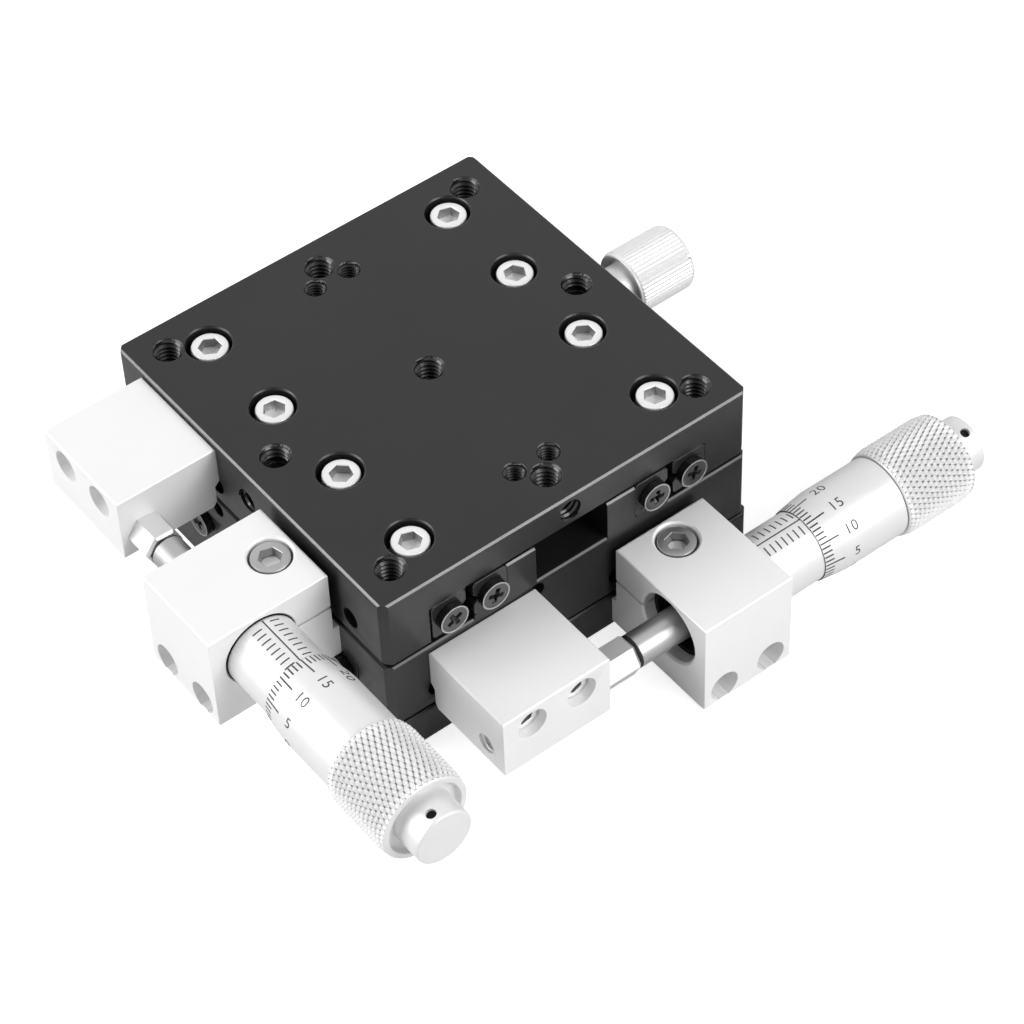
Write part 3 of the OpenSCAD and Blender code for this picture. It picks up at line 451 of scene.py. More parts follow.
# Tapped holes. A wall's radius is that of its thread's foot. OVER and UNDER are how far a cutter passes the
# top or stops short of it, and STEP is how far a mouth's cutter starts inside the wall.
M4_PLACES = [(x, y) for x in (-25, 0, 25) for y in (-25, 0, 25)]
M3_PLACES = [(x, y) for x in (-22, 22) for y in (-2.8, 2.8)]
M4_WALL, M3_WALL, SIDE_WALL, BASE_WALL, STOP_WALL = 1.98, 1.5, 1.7, 1.65, 1.5
M4_PITCH, M3_PITCH = 0.7, 0.5
OVER, UNDER, STEP = 0.02, 0.01, 0.03
HOLE_H, SHORT_HOLE_H = 4.9, 2.9


def hole_floor(x, y):
    """Height of a hole's floor. The holes over the side holes are short."""
    return TOP_Z - (SHORT_HOLE_H if x == 0 and y else HOLE_H)


def hole_walls(places, wall):
    return [cone(x, y, hole_floor(x, y), wall, TOP_Z - UNDER, wall) for x, y in places]


def hole_mouths(places, wall, height, flare):
    return [cone(x, y, TOP_Z - height, wall - STEP, TOP_Z + OVER, wall + flare) for x, y in places]


rims = [cone(x, y, TOP_Z - 0.24, 3.17, TOP_Z + OVER, 3.43)
        for x in RAIL_HOLES for y in (-RAIL_HOLE_Y, RAIL_HOLE_Y)]
walls = hole_walls(M4_PLACES, M4_WALL) + hole_walls(M3_PLACES, M3_WALL)
mouths = hole_mouths(M4_PLACES, M4_WALL, 0.3, 0.28) + hole_mouths(M3_PLACES, M3_WALL, 0.25, 0.22)
table_cutters = [cutting(parts, UPPER_MOVING) for parts in (rims, walls, mouths)]

PLATE_EASE, TABLE_EASE, RAIL_EASE = 0.07, 0.05, 0.1
BLOCK_EASE = 0.05
BLOCK_CHAMFERS = (0.35, 0.16)

eased("base_plate", ANODISED, PLATE_EASE)
eased("saddle_plate", ANODISED, PLATE_EASE, highlight_paint=EDGE_HIGHLIGHT)
eased("table_plate", ANODISED, TABLE_EASE, cutters=table_cutters, highlight_paint=EDGE_HIGHLIGHT)
for axis in (X_AXIS, Y_AXIS):
    eased(axis.name + "_stop_block", SATIN, BLOCK_EASE, BLOCK_CHAMFERS)
for axis in (X_AXIS, Y_AXIS):
    pinch_mouth = cutting([cone(axis.clamp, PINCH_Y, 15.72, 2.98, 16.02, 3.28)], axis.fixed)
    eased(axis.name + "_clamp_block", SATIN, BLOCK_EASE, BLOCK_CHAMFERS, [pinch_mouth])
for axis in (X_AXIS, Y_AXIS):
    eased(axis.name + "_anvil", ANVIL, BLOCK_EASE)
for node in [n for n in frame["nodes"] if "rail_" in n and not n.endswith("screws")]:
    eased(node, RAIL, RAIL_EASE)

PAINT = {"black_anodised": ANODISED, "silver_anodised": SATIN, "rail_steel": RAIL, "cage_brass": BRASS,
         "polished_steel": POLISHED, "blackened_steel": BLACKENED, "screw_steel": SCREW,
         "satin_chrome": CHROME, "spring_steel": WIRE, "pin_brass": BRASS}
for row in frame["record"]["subparts"]:
    node = frame["nodes"][row["node"]]
    node.data.materials.clear()
    node.data.materials.append(PAINT[row["material_slot"]])


# Threads

THREAD_STEPS = 40
RIDGE_HALF, CREST_HALF = 0.44, 0.07     # half widths of a ridge's foot and crest, as shares of the pitch


def inner_thread(wall_r, pitch, start, end, depth):
    """A helical ridge on a bore's wall, from start to end along X, that fades in and out."""
    turns = (end - start) / pitch
    sections = []
    for i in range(int(turns * THREAD_STEPS) + 1):
        t = i / THREAD_STEPS
        x, a = start + pitch * t, 360 * t
        fade = min(1.0, t * 2 + 0.05, (turns - t) * 2 + 0.05)
        crest, foot = wall_r - depth * fade, wall_r + 0.02
        corners = ((-RIDGE_HALF, foot), (-CREST_HALF, crest), (CREST_HALF, crest), (RIDGE_HALF, foot))
        sections.append(np.array([on_round(x + share * pitch, r, a) for share, r in corners]))
    return box_strip(sections)


table_threads = []
for x, y in M4_PLACES:
    low = hole_floor(x, y)
    ridge = inner_thread(M4_WALL, M4_PITCH, 0.3, TOP_Z - 0.35 - low, 0.36)
    table_threads.append(moved(ridge, shift(x, y, low) @ FACE_UP))
for x, y in M3_PLACES:
    ridge = inner_thread(M3_WALL, M3_PITCH, 0.25, 4.65, 0.27)
    table_threads.append(moved(ridge, shift(x, y, hole_floor(x, y)) @ FACE_UP))
FRONT_HOLE_H, END_HOLE_H = 7.0, 3.0
table_threads.append(moved(inner_thread(SIDE_WALL, M4_PITCH, 0.4, FRONT_HOLE_H - 0.1, 0.26),
                           shift(0, -HALF + FRONT_HOLE_H, LOCK_Z) @ FACE_FRONT))
table_threads.append(moved(inner_thread(SIDE_WALL, M4_PITCH, 0.3, END_HOLE_H - 0.15, 0.26),
                           shift(HALF - END_HOLE_H, 0, END_HOLE_Z)))
piece("table_threads", table_threads, THREAD, "table", UPPER_MOVING, 20)

FLOOR_H = 6
base_threads = [moved(inner_thread(BASE_WALL, M4_PITCH, 0.4, 5.5, 0.26), shift(x, y, FLOOR_H) @ FACE_DOWN)
                for x in (-25, 25) for y in (-25, 25)]
piece("base_threads", base_threads, THREAD, "base", LOWER_FIXED, 20)
for axis in (X_AXIS, Y_AXIS):
    end_face = axis.moving @ shift(axis.stop - STOP_L / 2, MIC_Y, AXIS_Z)
    piece(axis.name + "_stop_thread", [inner_thread(STOP_WALL, M3_PITCH, 0.3, 8.9, 0.2)], SATIN,
          axis.moving_body, end_face, 20)


# Cap screws

CapScrew = namedtuple("CapScrew", "head_r head_h shank_r length socket")
CAP_STEPS, CAP_TEETH, CAP_TOOTH = 144, 36, 0.09
CAP_ROUND = 0.22
SOCKET_SHARE = 0.5      # depth of the hexagon's floor, as a share of the head


def cap_screw(size):
    """A socket cap screw along X: seat at 0, head towards +X."""
    head_r, head_h, shank_r, length, socket = size
    teeth = tooth(CAP_STEPS, CAP_TEETH, CAP_TOOTH, head_r)
    hexed = hexagon(socket, CAP_STEPS)
    floor = head_h * SOCKET_SHARE
    rings = [(-length, CORE), (-length, shank_r - 0.25), (-length + 0.25, shank_r), (-0.05, shank_r),
             (0, shank_r + 0.05), (0, head_r - 0.12), (0.1, head_r), (0.28, head_r), (0.4, teeth),
             (head_h - 0.55, teeth), (head_h - 0.42, head_r), (head_h - 0.3, head_r)]
    rings += [(head_h - CAP_ROUND + CAP_ROUND * math.sin(t), head_r - CAP_ROUND * (1 - math.cos(t)))
              for t in np.radians((0, 30, 60, 90))]
    rings += [(head_h, hexed * 1.05), (head_h - 0.03, hexed * 1.02), (head_h - 0.1, hexed),
              (floor, hexed * 0.985), (floor, hexed * 0.6), (floor - 0.15, CORE)]
    return turned(rings, CAP_STEPS)


def socket_wall(size):
    """A darker lining for the hexagon of a cap screw: painted shade in the socket."""
    hexed = hexagon(size.socket, CAP_STEPS)
    low, high = size.head_h * SOCKET_SHARE + 0.02, size.head_h - 0.11
    profile = [(low, hexed * 0.96), (high, hexed * 0.975), (high, hexed * 1.03), (low, hexed * 1.03)]
    return turned(profile, CAP_STEPS, closed=True)


def cap_screws(heads, shade_linings, size, seats, paint, body, place, node):
    """The screws of a CAD node at their seats, and the darker linings of their hexagons: painted shade."""
    piece(heads, [moved(cap_screw(size), seat) for seat in seats], paint, body, place, 30,
          (node,))
    piece(shade_linings, [moved(socket_wall(size), seat) for seat in seats], SOCKET_SHADE, body, place, 30)


RAIL_SCREW_OFF = 0.15   # the rail screws stand off their counterbores' middles, towards +Y
rail_seats = [shift(x, y + RAIL_SCREW_OFF, SEAT_Z) @ FACE_UP @ spin(23 * i + 11 * (y > 0), "X")
              for i, x in enumerate(RAIL_HOLES) for y in (-RAIL_HOLE_Y, RAIL_HOLE_Y)]
cap_screws("table_rail_screw_heads", "table_rail_screw_sockets", CapScrew(2.58, 3.0, 1.48, 5.0, 2.85),
           rail_seats, SCREW, "table", UPPER_MOVING, "table_rail_screws")

PINCH_SCREW = CapScrew(2.66, 3.0, 1.48, 10.0, 2.85)
for axis in (X_AXIS, Y_AXIS):
    seat = axis.fixed @ shift(axis.clamp, PINCH_Y, PINCH_SEAT_Z) @ FACE_UP @ spin(14, "X")
    cap_screws(axis.name + "_pinch_cap_screw", axis.name + "_pinch_socket", PINCH_SCREW,
               [IN_PLACE], POLISHED, axis.fixed_body, seat, axis.name + "_pinch_screw")
    # A disc in the lighter screw steel at the floor of the pinch screw's hexagon: a painted highlight.
    floor_highlight = [(1.36, CORE), (1.36, 1.3), (1.56, 1.3), (1.58, 1.2), (1.58, CORE)]
    piece(axis.name + "_pinch_floor", [turned(floor_highlight, 48)], SCREW, axis.fixed_body, seat,
          30)

for kind, z, out, head_h in (("clamp", CLAMP_SCREW_Z, CLAMP_SCREW_OUT, 2.0),
                             ("stop", STOP_SCREW_Z, STOP_SCREW_OUT, 2.9)):
    size = CapScrew(2.1, head_h, 1.22, out + BLOCK_SCREW_IN, 2.4)
    for axis in (X_AXIS, Y_AXIS):
        body, place, at = ((axis.fixed_body, axis.fixed, axis.clamp) if kind == "clamp"
                           else (axis.moving_body, axis.moving, axis.stop))
        seats = [shift(at + d, -HALF - out, z) @ FACE_FRONT @ spin(17 + d * 9, "X")
                 for d in (-BLOCK_SCREW_X, BLOCK_SCREW_X)]
        name = f"{axis.name}_{kind}_"
        cap_screws(name + "cap_screws", name + "sockets", size, seats, SCREW, body, place, name + "screws")


# Cross-slotted screws in the rails' ends

END_STEPS = 192
END_TURNS = (20, 62, 35, 8)


def end_screw(turn):
    """A screw along X in a rail's end, with its dark cross recess."""
    return turned([(-3.6, CORE), (-3.6, 0.8), (-3.4, 0.97), (0.02, 0.97), (0.06, 1.9), (0.12, 2.08),
                   (0.2, 2.14), (0.34, 2.16), (1.13, 2.18), (1.13, 2.1), (0.99, 1.99), (0.985, 1.5),
                   (0.98, cross(1.19, 0.35, END_STEPS, turn)), (0.62, cross(0.8, 0.26, END_STEPS, turn)),
                   (0.4, CORE)], END_STEPS)


def end_screw_face(turn):
    """The grey face of that screw, round its cross recess."""
    return turned([(1.0, 1.97), (1.14, 2.05), (1.2, 2.0), (1.205, 1.88), (1.2, 1.5),
                   (1.195, cross(1.24, 0.38, END_STEPS, turn)), (1.15, cross(1.21, 0.36, END_STEPS, turn)),
                   (1.0, cross(1.2, 0.355, END_STEPS, turn))], END_STEPS, closed=True)


def end_screw_rim():
    """The bright edge of that face: a painted highlight."""
    return turned([(1.0, 1.98), (1.13, 2.165), (1.18, 2.2), (1.23, 2.18), (1.25, 2.11), (1.245, 2.03),
                   (1.205, 1.95)], closed=True)


for node, body, place, y in (("base_end_screws", "base", LOWER_FIXED, FIXED_RAIL_Y),
                             ("saddle_lower_end_screws", "saddle", LOWER_MOVING, MOVING_RAIL_Y),
                             ("saddle_upper_end_screws", "saddle", UPPER_FIXED, FIXED_RAIL_Y),
                             ("table_end_screws", "table", UPPER_MOVING, MOVING_RAIL_Y)):
    shanks, faces, edges = [], [], []
    for i, (side, row) in enumerate(((1, 1), (1, -1), (-1, 1), (-1, -1))):
        turn = END_TURNS[(i + len(node)) % len(END_TURNS)]
        at = shift(side * HALF, row * y, RAIL_END_Z) @ (IN_PLACE if side > 0 else spin(180, "Z"))
        shanks.append(moved(end_screw(turn), at))
        faces.append(moved(end_screw_face(turn), at))
        edges.append(moved(end_screw_rim(), at))
    piece(node + "_turned", shanks, BLACKENED, body, place, 26, (node,))
    piece(node + "_faces", faces, DISC, body, place, 26)
    # The bright rims: a painted highlight.
    piece(node + "_rims", edges, RIM_HIGHLIGHT, body, place, 40)


# Micrometer heads

SLEEVE_R, THIMBLE_R, GRIP_R, CAP_R = 5.2, 5.95, 6.63, 4.15
LIP_R = 5.37
THIMBLE_BORE_R, SLEEVE_BORE_R = 5.25, 2.45
SPINDLE_R, SCREW_R, TAIL_R = 2.42, 3.2, 1.8
SCREW_START = 36
BARREL_L, BEVEL_L = 14.2, 4.2
CAP_OUT, CAP_HOLE_OUT, CAP_HOLE_R = 3.9, 2.4, 0.7
RECESS = 0.95
KNURL_DEPTH = 0.42
KNURL_COLUMNS, KNURL_ROWS, KNURL_STEPS = 46, 7, 8
DIVISIONS = 50

# Engraved marks: their width, and how far they stand over the surface and reach into it
MARK_W = 0.21
LIFT, SINK = 0.012, 0.05


def bevel_r(s):
    """Radius of the thimble at a distance from its front edge."""
    return LIP_R + (THIMBLE_R - LIP_R) * min(1.0, s / BEVEL_L)


def axial_mark(s0, s1, a, radius):
    """A mark along the axis from s0 to s1. radius gives the surface's radius at a place."""
    half = math.degrees(MARK_W / 2 / SLEEVE_R)
    sections = []
    for s in np.linspace(s0, s1, 3):
        low, high = radius(s) - SINK, radius(s) + LIFT
        sections.append(np.array([on_round(s, low, a - half), on_round(s, high, a - half),
                                  on_round(s, high, a + half), on_round(s, low, a + half)]))
    return box_strip(sections)


def round_mark(s, a0, a1, r):
    """A mark round the axis from a0 to a1 degrees."""
    sections = []
    for a in np.linspace(a0, a1, 9):
        back, ahead = s - MARK_W / 2, s + MARK_W / 2
        sections.append(np.array([on_round(back, r - SINK, a), on_round(ahead, r - SINK, a),
                                  on_round(ahead, r + LIFT, a), on_round(back, r + LIFT, a)]))
    return box_strip(sections)


def numeral(text, s, a):
    """Raised paint in the shape of a number on the thimble, its foot towards greater angles."""
    curve = bpy.data.curves.new("numeral", "FONT")
    curve.body, curve.size, curve.extrude = text, 2.1, 0.5
    curve.align_x, curve.align_y = "CENTER", "CENTER"
    curve.space_character = 1.12
    obj = linked("numeral", curve)
    mesh = applied(obj)
    bpy.data.objects.remove(obj)
    bm = bmesh.new()
    bm.from_mesh(mesh)
    bmesh.ops.remove_doubles(bm, verts=bm.verts, dist=1e-5)
    for axis, reach in ((Vector((0, 1, 0)), 0.9), (Vector((1, 0, 0)), 1.5)):
        for t in np.arange(-reach, reach, 0.16):
            bmesh.ops.bisect_plane(bm, geom=bm.verts[:] + bm.edges[:] + bm.faces[:],
                                   plane_co=axis * float(t), plane_no=axis)
    bm.to_mesh(mesh)
    bm.free()
    points = []
    for v in mesh.vertices:
        x, y, z = v.co
        radius = bevel_r(s + x)
        points.append(on_round(s + x, radius + (LIFT if z > 0 else -SINK), a - math.degrees(y / radius)))
    faces = [tuple(p.vertices) for p in mesh.polygons]
    bpy.data.meshes.remove(mesh)
    return np.array(points), faces


def tents(a, b):
    """Heights from 0 to 1 of the two families of ridges of the knurl, at a step round and a step along."""
    u, v = np.mod((a + b) / KNURL_STEPS, 1), np.mod((a - b) / KNURL_STEPS, 1)
    return 1 - np.abs(2 * u - 1), 1 - np.abs(2 * v - 1)


def knurled_thimble():
    """Bevel, barrel and diamond-knurled grip in one skin, and the numbers of its groove and pit faces, which
    get darker paint as painted shade.
    """
    steps, rows = KNURL_COLUMNS * KNURL_STEPS, KNURL_ROWS * KNURL_STEPS
    undercut = THIMBLE_R - 0.3
    rings = [(0.0, THIMBLE_BORE_R), (0.0, LIP_R - 0.03), (0.03, LIP_R),
             (BEVEL_L - 0.4, bevel_r(BEVEL_L - 0.4)), (BEVEL_L, THIMBLE_R - 0.015),
             (BEVEL_L + 0.4, THIMBLE_R), (BARREL_L - 0.1, THIMBLE_R),
             (BARREL_L - 0.1, undercut), (BARREL_L + 0.04, undercut), (BARREL_L + 0.04, GRIP_R - 0.5),
             (BARREL_L + 0.2, GRIP_R - 0.36)]
    first = len(rings)
    start, end = BARREL_L + 0.3, HEAD_L - 0.2
    around = np.arange(steps)
    for i in range(rows + 1):
        point = np.minimum(1.0, 1.2 * np.minimum(*tents(around, i)))
        ends = min(1.0, 0.3 + i / KNURL_STEPS, 0.3 + (rows - i) / KNURL_STEPS)
        rings.append((start + (end - start) * i / rows, GRIP_R - KNURL_DEPTH * (1 - point * ends)))
    rings += [(HEAD_L - 0.17, GRIP_R - 0.28), (HEAD_L - 0.05, GRIP_R - 0.36), (HEAD_L, GRIP_R - 0.44),
              (HEAD_L, 5.55), (HEAD_L - 0.05, 5.48), (HEAD_L - RECESS + 0.06, 5.36), (HEAD_L - RECESS, 5.28),
              (HEAD_L - RECESS, TAIL_R + 0.02), (HEAD_L - 2.0, TAIL_R + 0.02), (HEAD_L - 2.0, THIMBLE_BORE_R)]
    points, faces = turned(rings, steps, closed=True)
    split, groove_shades, pit_shades = [], [], []
    for f in faces:
        ring, j = divmod(f[0], steps)
        i = ring - first
        if 0 <= i < rows and f[3] // steps - first == i + 1:
            a, b, c, d = f
            halves = [(a, b, c), (a, c, d)] if (j - i) % KNURL_STEPS == 0 else [(a, b, d), (b, c, d)]
            near = tents(j + 0.5, i + 0.5)
            # Faces where the grooves cross get the dark grey and faces along the grooves the lighter grey:
            # painted shade.
            if sum(near) < 0.52:
                pit_shades += [len(split), len(split) + 1]
            elif min(near) < 0.13:
                groove_shades += [len(split), len(split) + 1]
            split += halves
        else:
            # The undercut's shoulder and floor get the dark grey too: painted shade.
            if ring in (first - 5, first - 4):
                pit_shades.append(len(split))
            split.append(f)
    return points, split, groove_shades, pit_shades


def add_sleeve(axis, body, place):
    """The graduated sleeve, a near-black lining of painted shade in its hollow, its marks, and a near-black
    ring of painted shade for the gap round it in the clamp's bore.
    """
    outline = soften([(1.5, 4.5), (1.5, 4.85), (1.75, SLEEVE_R), (39.0, SLEEVE_R), (39.3, 4.9), (39.3, 3.25),
                      (21, 3.25), (21, SLEEVE_BORE_R), (7, SLEEVE_BORE_R), (7, 4.5)], 0.08, 2, closed=True)
    # A near-black lining in the sleeve's hollow: painted shade.
    hollow = [(1.0, 4.42), (1.0, 5.19), (1.48, 5.19), (1.48, 4.52), (7.02, 4.51), (7.02, 2.5), (6.9, 2.5),
              (6.9, 4.42)]
    piece(axis.name + "_sleeve_hollow", [turned(hollow, closed=True)], SHADE_PAINT, body, place, 30)
    piece(axis.name + "_sleeve_turned", [turned(outline, 160, closed=True)], CHROME, body, place,
          30, (axis.name + "_sleeve",))
    k = "xy".index(axis.name)
    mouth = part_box(axis.name + "_clamp_block")[1][k] / MM - (place @ Vector((0, 0, 0)))[k]
    marks = [axial_mark(14.0, 34.0, axis.datum, lambda s: SLEEVE_R)]
    for n in range(-1, 20):
        for side, start in ((1, axis.outer_mark), (-1, axis.outer_mark + 0.5)):
            s = start + n
            if mouth + 0.45 < s < 33.5:
                marks.append(round_mark(s, axis.datum + side * 8.7, axis.datum + side * 24.9, SLEEVE_R))
    piece(axis.name + "_sleeve_marks", marks, INK, body, place, 30)
    # A near-black ring at the clamp bore's mouth round the sleeve: painted shade of the gap.
    gap = [(mouth - 0.3, SLEEVE_R - 0.02), (mouth + 0.008, SLEEVE_R - 0.02), (mouth + 0.008, SLEEVE_R + 0.15),
           (mouth - 0.3, SLEEVE_R + 0.15)]
    piece(axis.name + "_bore_gap", [turned(gap, 160, closed=True)], SHADE_PAINT, body, place, 30)


def add_spindle(axis, body, place):
    """The spindle with its threaded rear, and a dark ring of painted shade on the bevel at its tip."""
    # The blackened ring over the tip's bevel, darker than the polished spindle: painted shade.
    tip_shade = [(0.01, 1.9), (0.01, 2.04), (0.4, 2.425), (0.52, 2.425), (0.52, 1.9)]
    piece(axis.name + "_spindle_tip", [turned(tip_shade, closed=True)], BLACKENED, body, place,
          30)
    tail, end = axis.thimble + HEAD_L - 2, axis.thimble + HEAD_L + 1.95
    rod = soften([(0.03, CORE), (0.03, 1.95), (0.5, 2.3), (0.56, SPINDLE_R), (SCREW_START, SPINDLE_R),
                  (SCREW_START, SCREW_R), (tail, SCREW_R), (tail, TAIL_R), (end, TAIL_R), (end, CORE)],
                 0.05, 2)
    piece(axis.name + "_spindle_turned", [turned(rod, 128)], POLISHED, body, place, 30,
          (axis.name + "_spindle",))


def add_thimble(axis, body, place):
    """The knurled thimble with painted shade in its knurl, a near-black ring of painted shade in the gap at
    its front edge, its divisions and its numbers.
    """
    points, faces, groove_shades, pit_shades = knurled_thimble()
    skin = piece(axis.name + "_thimble_knurled", [(points, faces)], CHROME, body, place, 24,
                 (axis.name + "_thimble",))
    # The groove and pit faces get their painted shade.
    for index, paint, numbers in ((1, GROOVE_SHADE, groove_shades), (2, PIT_SHADE, pit_shades)):
        skin.data.materials.append(paint)
        for number in numbers:
            skin.data.polygons[number].material_index = index
    # A near-black ring in the gap between the thimble's front edge and the sleeve: painted shade.
    gap = [(-0.012, 5.225), (-0.012, 5.345), (0.02, 5.345), (0.02, 5.225)]
    piece(axis.name + "_thimble_gap", [turned(gap, 128, closed=True)], SHADE_PAINT, body, place,
          30)
    divisions, numerals = [], []
    for n in range(DIVISIONS):
        a = axis.datum - (n - axis.zero) * 360 / DIVISIONS
        divisions.append(axial_mark(0.06, 3.0 if n % 5 == 0 else 1.4, a, bevel_r))
        if n % 5 == 0:
            numerals.append(numeral(str(n), 5.15, a))
    piece(axis.name + "_thimble_marks", divisions, INK, body, place, 30)
    piece(axis.name + "_thimble_numbers", numerals, INK, body, place, 30)


def add_cap(axis, body, place):
    """The end cap with its spanner hole, and a near-black disc of painted shade at the floor of that hole."""
    base, end = HEAD_L - RECESS, HEAD_L + CAP_OUT
    outline = soften([(base, TAIL_R + 0.02), (base, CAP_R), (end - 0.32, CAP_R), (end - 0.14, CAP_R - 0.08),
                      (end - 0.06, CAP_R - 0.3), (end, 2.4), (end, CORE)], 0.06, 2)
    outline += [(HEAD_L + 1.97, CORE), (HEAD_L + 1.97, TAIL_R + 0.02)]
    hole = place @ spin(axis.cap_turn, "X") @ shift(HEAD_L + CAP_HOLE_OUT, 0, 0) @ FACE_UP
    drill = raw(turned([(CAP_R - 1.6, CAP_HOLE_R), (CAP_R + 1, CAP_HOLE_R)], 40), hole)
    dress(axis.name + "_cap_turned", cut(raw(turned(outline, 128, closed=True), place), drill), CHROME, body,
          26, (axis.name + "_end_cap",))
    # A near-black disc down the spanner hole: painted shade.
    floor_shade = [(CAP_R - 1.59, CAP_HOLE_R - 0.01), (CAP_R - 0.5, CAP_HOLE_R - 0.01), (CAP_R - 0.56, 0.3),
            (CAP_R - 0.58, 0.02)]
    piece(axis.name + "_cap_hole_plug", [turned(floor_shade, 40)], SHADE_PAINT, body, hole, 30)


for axis in (X_AXIS, Y_AXIS):
    tip = axis.moving @ shift(axis.tip, MIC_Y, AXIS_Z)
    front_edge = tip @ shift(axis.thimble, 0, 0)
    add_sleeve(axis, axis.fixed_body, axis.fixed @ shift(axis.sleeve, MIC_Y, AXIS_Z))
    add_spindle(axis, axis.thimble_body, tip)
    add_thimble(axis, axis.thimble_body, front_edge)
    add_cap(axis, axis.thimble_body, front_edge)


# Lock screw, along X from the table's back

KNOB_TEETH, KNOB_STEPS = 52, 6
KNOB_R, KNOB_TOOTH = 4.85, 0.16
STEM_L = 7.0
SLOT_H, SLOT_HALF = 0.8, 0.3


def knob():
    steps = KNOB_TEETH * KNOB_STEPS
    end = COLLAR_L + KNOB_L
    rings = [(-STEM_L, CORE), (-STEM_L, 1.7), (-STEM_L + 0.3, 1.97), (0.02, 1.97), (0.02, 3.0), (0.2, 3.18),
             (2.0, 3.2), (COLLAR_L + 0.9, 3.2), (COLLAR_L + 0.9, 3.5), (COLLAR_L + 0.06, 4.25),
             (COLLAR_L, 4.35), (COLLAR_L, 4.5), (COLLAR_L + 0.06, 4.6), (COLLAR_L + 0.3, 4.66)]
    for x, share in ((COLLAR_L + 0.5, 0.5), (COLLAR_L + 0.65, 1.0), (end - 0.75, 1.0), (end - 0.6, 0.5)):
        rings.append((x, tooth(steps, KNOB_TEETH, KNOB_TOOTH * share, KNOB_R - 0.06 * (1 - share))))
    rings += [(end - 0.4, 4.68), (end - 0.12, 4.5), (end - 0.02, 4.36), (end, 4.2), (end, CORE)]
    return turned(rings, steps)


lock_place = UPPER_MOVING @ shift(0, HALF, LOCK_Z) @ FACE_BACK
coin_slot = raw(brick((COLLAR_L + KNOB_L - SLOT_H, -8, -SLOT_HALF), (20, 8, SLOT_HALF)),
                lock_place @ spin(180 - KNOB_SLOT_TURN, "X"))
dress("lock_knob_turned", cut(raw(knob(), lock_place), coin_slot), CHROME, "lock_screw", 24,
      ("lock_screw",))


# Springs, as copies of the CAD's coils in place, in their own paint

for node, first, second, here, there in (
        ("y_spring", "base", "saddle", "base_spring_post", "saddle_lower_spring_post"),
        ("x_spring", "saddle", "table", "saddle_upper_spring_post", "table_spring_post")):
    coil = linked(node + "_coils", frame["nodes"][node].data.copy())
    coil.data.materials.clear()
    coil.data.materials.append(WIRE)
    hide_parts(node)
    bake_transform(coil)


# Camera, as solved from the photo's plate corners

CAMERA_AT = Vector((0.26299, -0.17873, 0.35332))
FORWARD = Vector((-0.54201127, 0.39264032, -0.74300562)).normalized()
UP = Vector((-0.57398, 0.47282, 0.66857))
right = FORWARD.cross(UP).normalized()
up = right.cross(FORWARD)
camera_data = bpy.data.cameras.new("camera")
camera_data.lens, camera_data.sensor_width = 119.98, 36.0
camera_data.clip_start, camera_data.clip_end = 0.01, 20.0
camera = linked("camera", camera_data)
camera.matrix_world = Matrix((
    (right.x, up.x, -FORWARD.x, CAMERA_AT.x),
    (right.y, up.y, -FORWARD.y, CAMERA_AT.y),
    (right.z, up.z, -FORWARD.z, CAMERA_AT.z),
    (0, 0, 0, 1)))
bpy.context.scene.camera = camera


# Light, background and floor

def softbox(name, direction, distance, width, height, level):
    """An area light that faces the object. level is its own brightness, 1 being white."""
    data = bpy.data.lights.new(name, "AREA")
    data.shape, data.size, data.size_y = "RECTANGLE", width, height
    data.energy = level * math.pi * width * height
    obj = linked(name, data)
    away = Vector(direction).normalized()
    obj.location = away * distance
    obj.rotation_euler = away.to_track_quat("Z", "Y").to_euler()


softbox("softbox_right", (0.78, 0.32, 0.60), 0.8, 0.50, 0.55, 5.0)
softbox("softbox_left", (-0.42, -0.82, 0.50), 0.8, 0.50, 0.55, 5.4)
softbox("softbox_top", (-0.05, 0.05, 1.0), 0.9, 0.50, 0.50, 0.8)


def by_ray(nodes, links, start, shares):
    """A level that starts at one value and gains a share for each kind of ray."""
    rays = nodes.new("ShaderNodeLightPath")
    level = None
    for ray, share in shares:
        gain = nodes.new("ShaderNodeMath")
        gain.operation = "MULTIPLY_ADD"
        links.new(rays.outputs[ray], gain.inputs[0])
        gain.inputs[1].default_value = share
        if level is None:
            gain.inputs[2].default_value = start
        else:
            links.new(level, gain.inputs[2])
        level = gain.outputs[0]
    return level


# The background is bright low down, darker overhead, and dim in one patch behind the photo's camera
SKY_STOPS = ((0.62, 1.0), (0.80, 0.76))
SKY_ZENITH = 0.35
DIM_DIRECTION = (0.54, -0.39, 0.745)
DIFFUSE_LEVEL, SEEN_LEVEL = 0.52, 1.0

world = bpy.data.worlds.new("studio")
bpy.context.scene.world = world
world.use_nodes = True
nodes, links = world.node_tree.nodes, world.node_tree.links
background = nodes["Background"]
direction = nodes.new("ShaderNodeTexCoord")
height = nodes.new("ShaderNodeSeparateXYZ")
links.new(direction.outputs["Generated"], height.inputs[0])
sky = nodes.new("ShaderNodeValToRGB")
sky.color_ramp.elements[0].position, sky.color_ramp.elements[0].color = 0.0, (1, 1, 1, 1)
sky.color_ramp.elements[1].position, sky.color_ramp.elements[1].color = 1.0, (*[SKY_ZENITH] * 3, 1)
for position, level in SKY_STOPS:
    stop = sky.color_ramp.elements.new(position)
    stop.color = (level, level, level, 1)
links.new(height.outputs["Z"], sky.inputs["Fac"])
front = nodes.new("ShaderNodeVectorMath")
front.operation = "DOT_PRODUCT"
front.inputs[1].default_value = DIM_DIRECTION
links.new(direction.outputs["Generated"], front.inputs[0])
dim = nodes.new("ShaderNodeMapRange")
dim.interpolation_type = "SMOOTHSTEP"
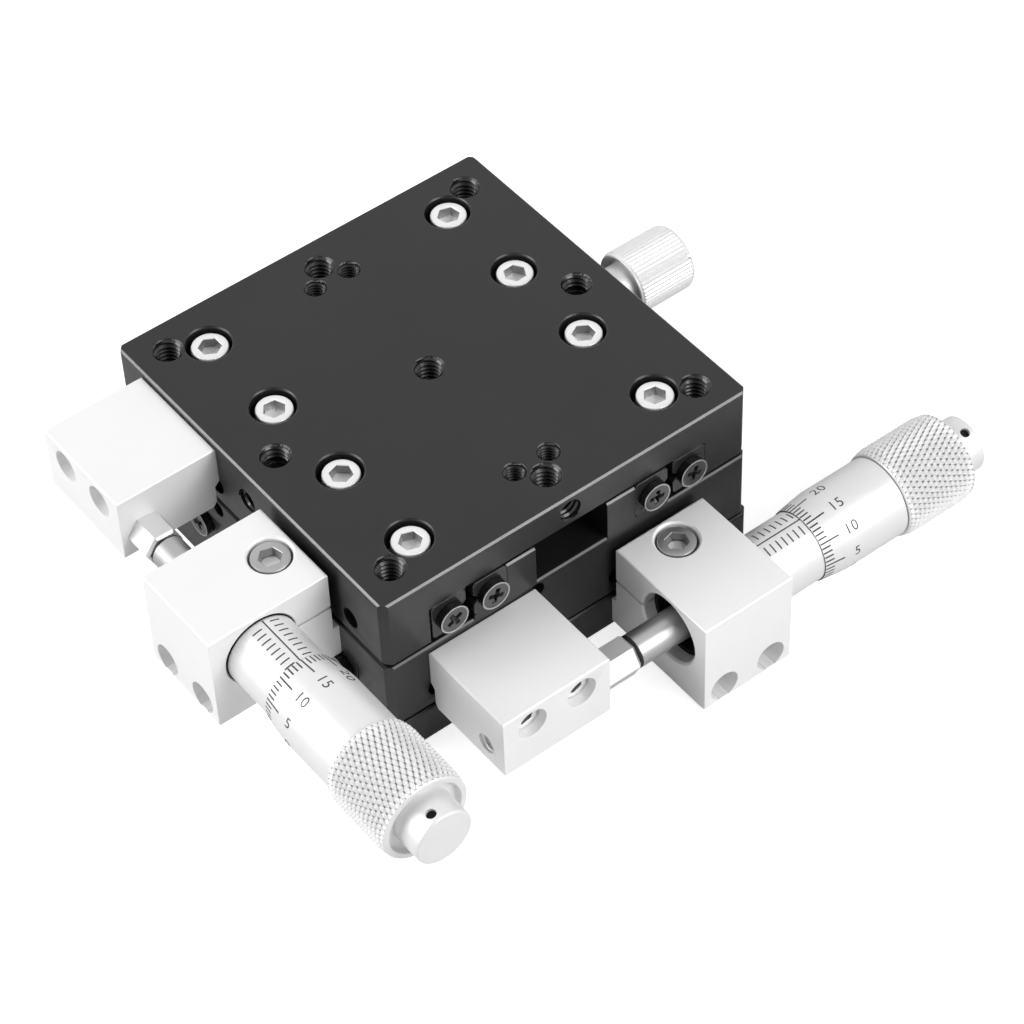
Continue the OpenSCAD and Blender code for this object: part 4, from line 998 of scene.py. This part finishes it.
for key, value in (("From Min", 0.80), ("From Max", 0.97), ("To Min", 1.0), ("To Max", 0.15)):
    dim.inputs[key].default_value = value
links.new(front.outputs["Value"], dim.inputs["Value"])
shaded = nodes.new("ShaderNodeMix")
shaded.data_type, shaded.blend_type = "RGBA", "MULTIPLY"
shaded.inputs["Factor"].default_value = 1.0
links.new(sky.outputs["Color"], shaded.inputs[MIX_A])
links.new(dim.outputs["Result"], shaded.inputs[MIX_B])
links.new(shaded.outputs[MIX_RESULT], background.inputs["Color"])
seen_gain = SEEN_LEVEL - DIFFUSE_LEVEL
strength = by_ray(nodes, links, DIFFUSE_LEVEL, (
    ("Is Camera Ray", seen_gain), ("Is Glossy Ray", seen_gain), ("Is Transmission Ray", seen_gain)))
links.new(strength, background.inputs["Strength"])

# The floor glows a little, so that it shows as white as the photo's
FLOOR_HALF, FLOOR_Z = 6, -0.0001
FLOOR_GREY = 0.66
corners = [(x * FLOOR_HALF, y * FLOOR_HALF, FLOOR_Z) for x, y in ((-1, -1), (1, -1), (1, 1), (-1, 1))]
floor_mesh = bpy.data.meshes.new("floor")
floor_mesh.from_pydata(corners, [], [(0, 1, 2, 3)])
floor = linked("floor", floor_mesh)
pale = bpy.data.materials.new("pale_floor")
pale.use_nodes = True
nodes, links = pale.node_tree.nodes, pale.node_tree.links
shader = nodes["Principled BSDF"]
shader.inputs["Base Color"].default_value = (*[FLOOR_GREY] * 3, 1)
shader.inputs["Roughness"].default_value = 0.9
shader.inputs["Specular IOR Level"].default_value = 0.0
glow = nodes.new("ShaderNodeEmission")
glow.inputs["Color"].default_value = (1, 1, 1, 1)
level = by_ray(nodes, links, 0.0, (
    ("Is Camera Ray", 0.74), ("Is Glossy Ray", 0.12), ("Is Transmission Ray", 0.12)))
links.new(level, glow.inputs["Strength"])
both = nodes.new("ShaderNodeAddShader")
links.new(shader.outputs[0], both.inputs[0])
links.new(glow.outputs[0], both.inputs[1])
links.new(both.outputs[0], nodes["Material Output"].inputs["Surface"])
floor_mesh.materials.append(pale)

bpy.context.scene.view_settings.view_transform = "Standard"
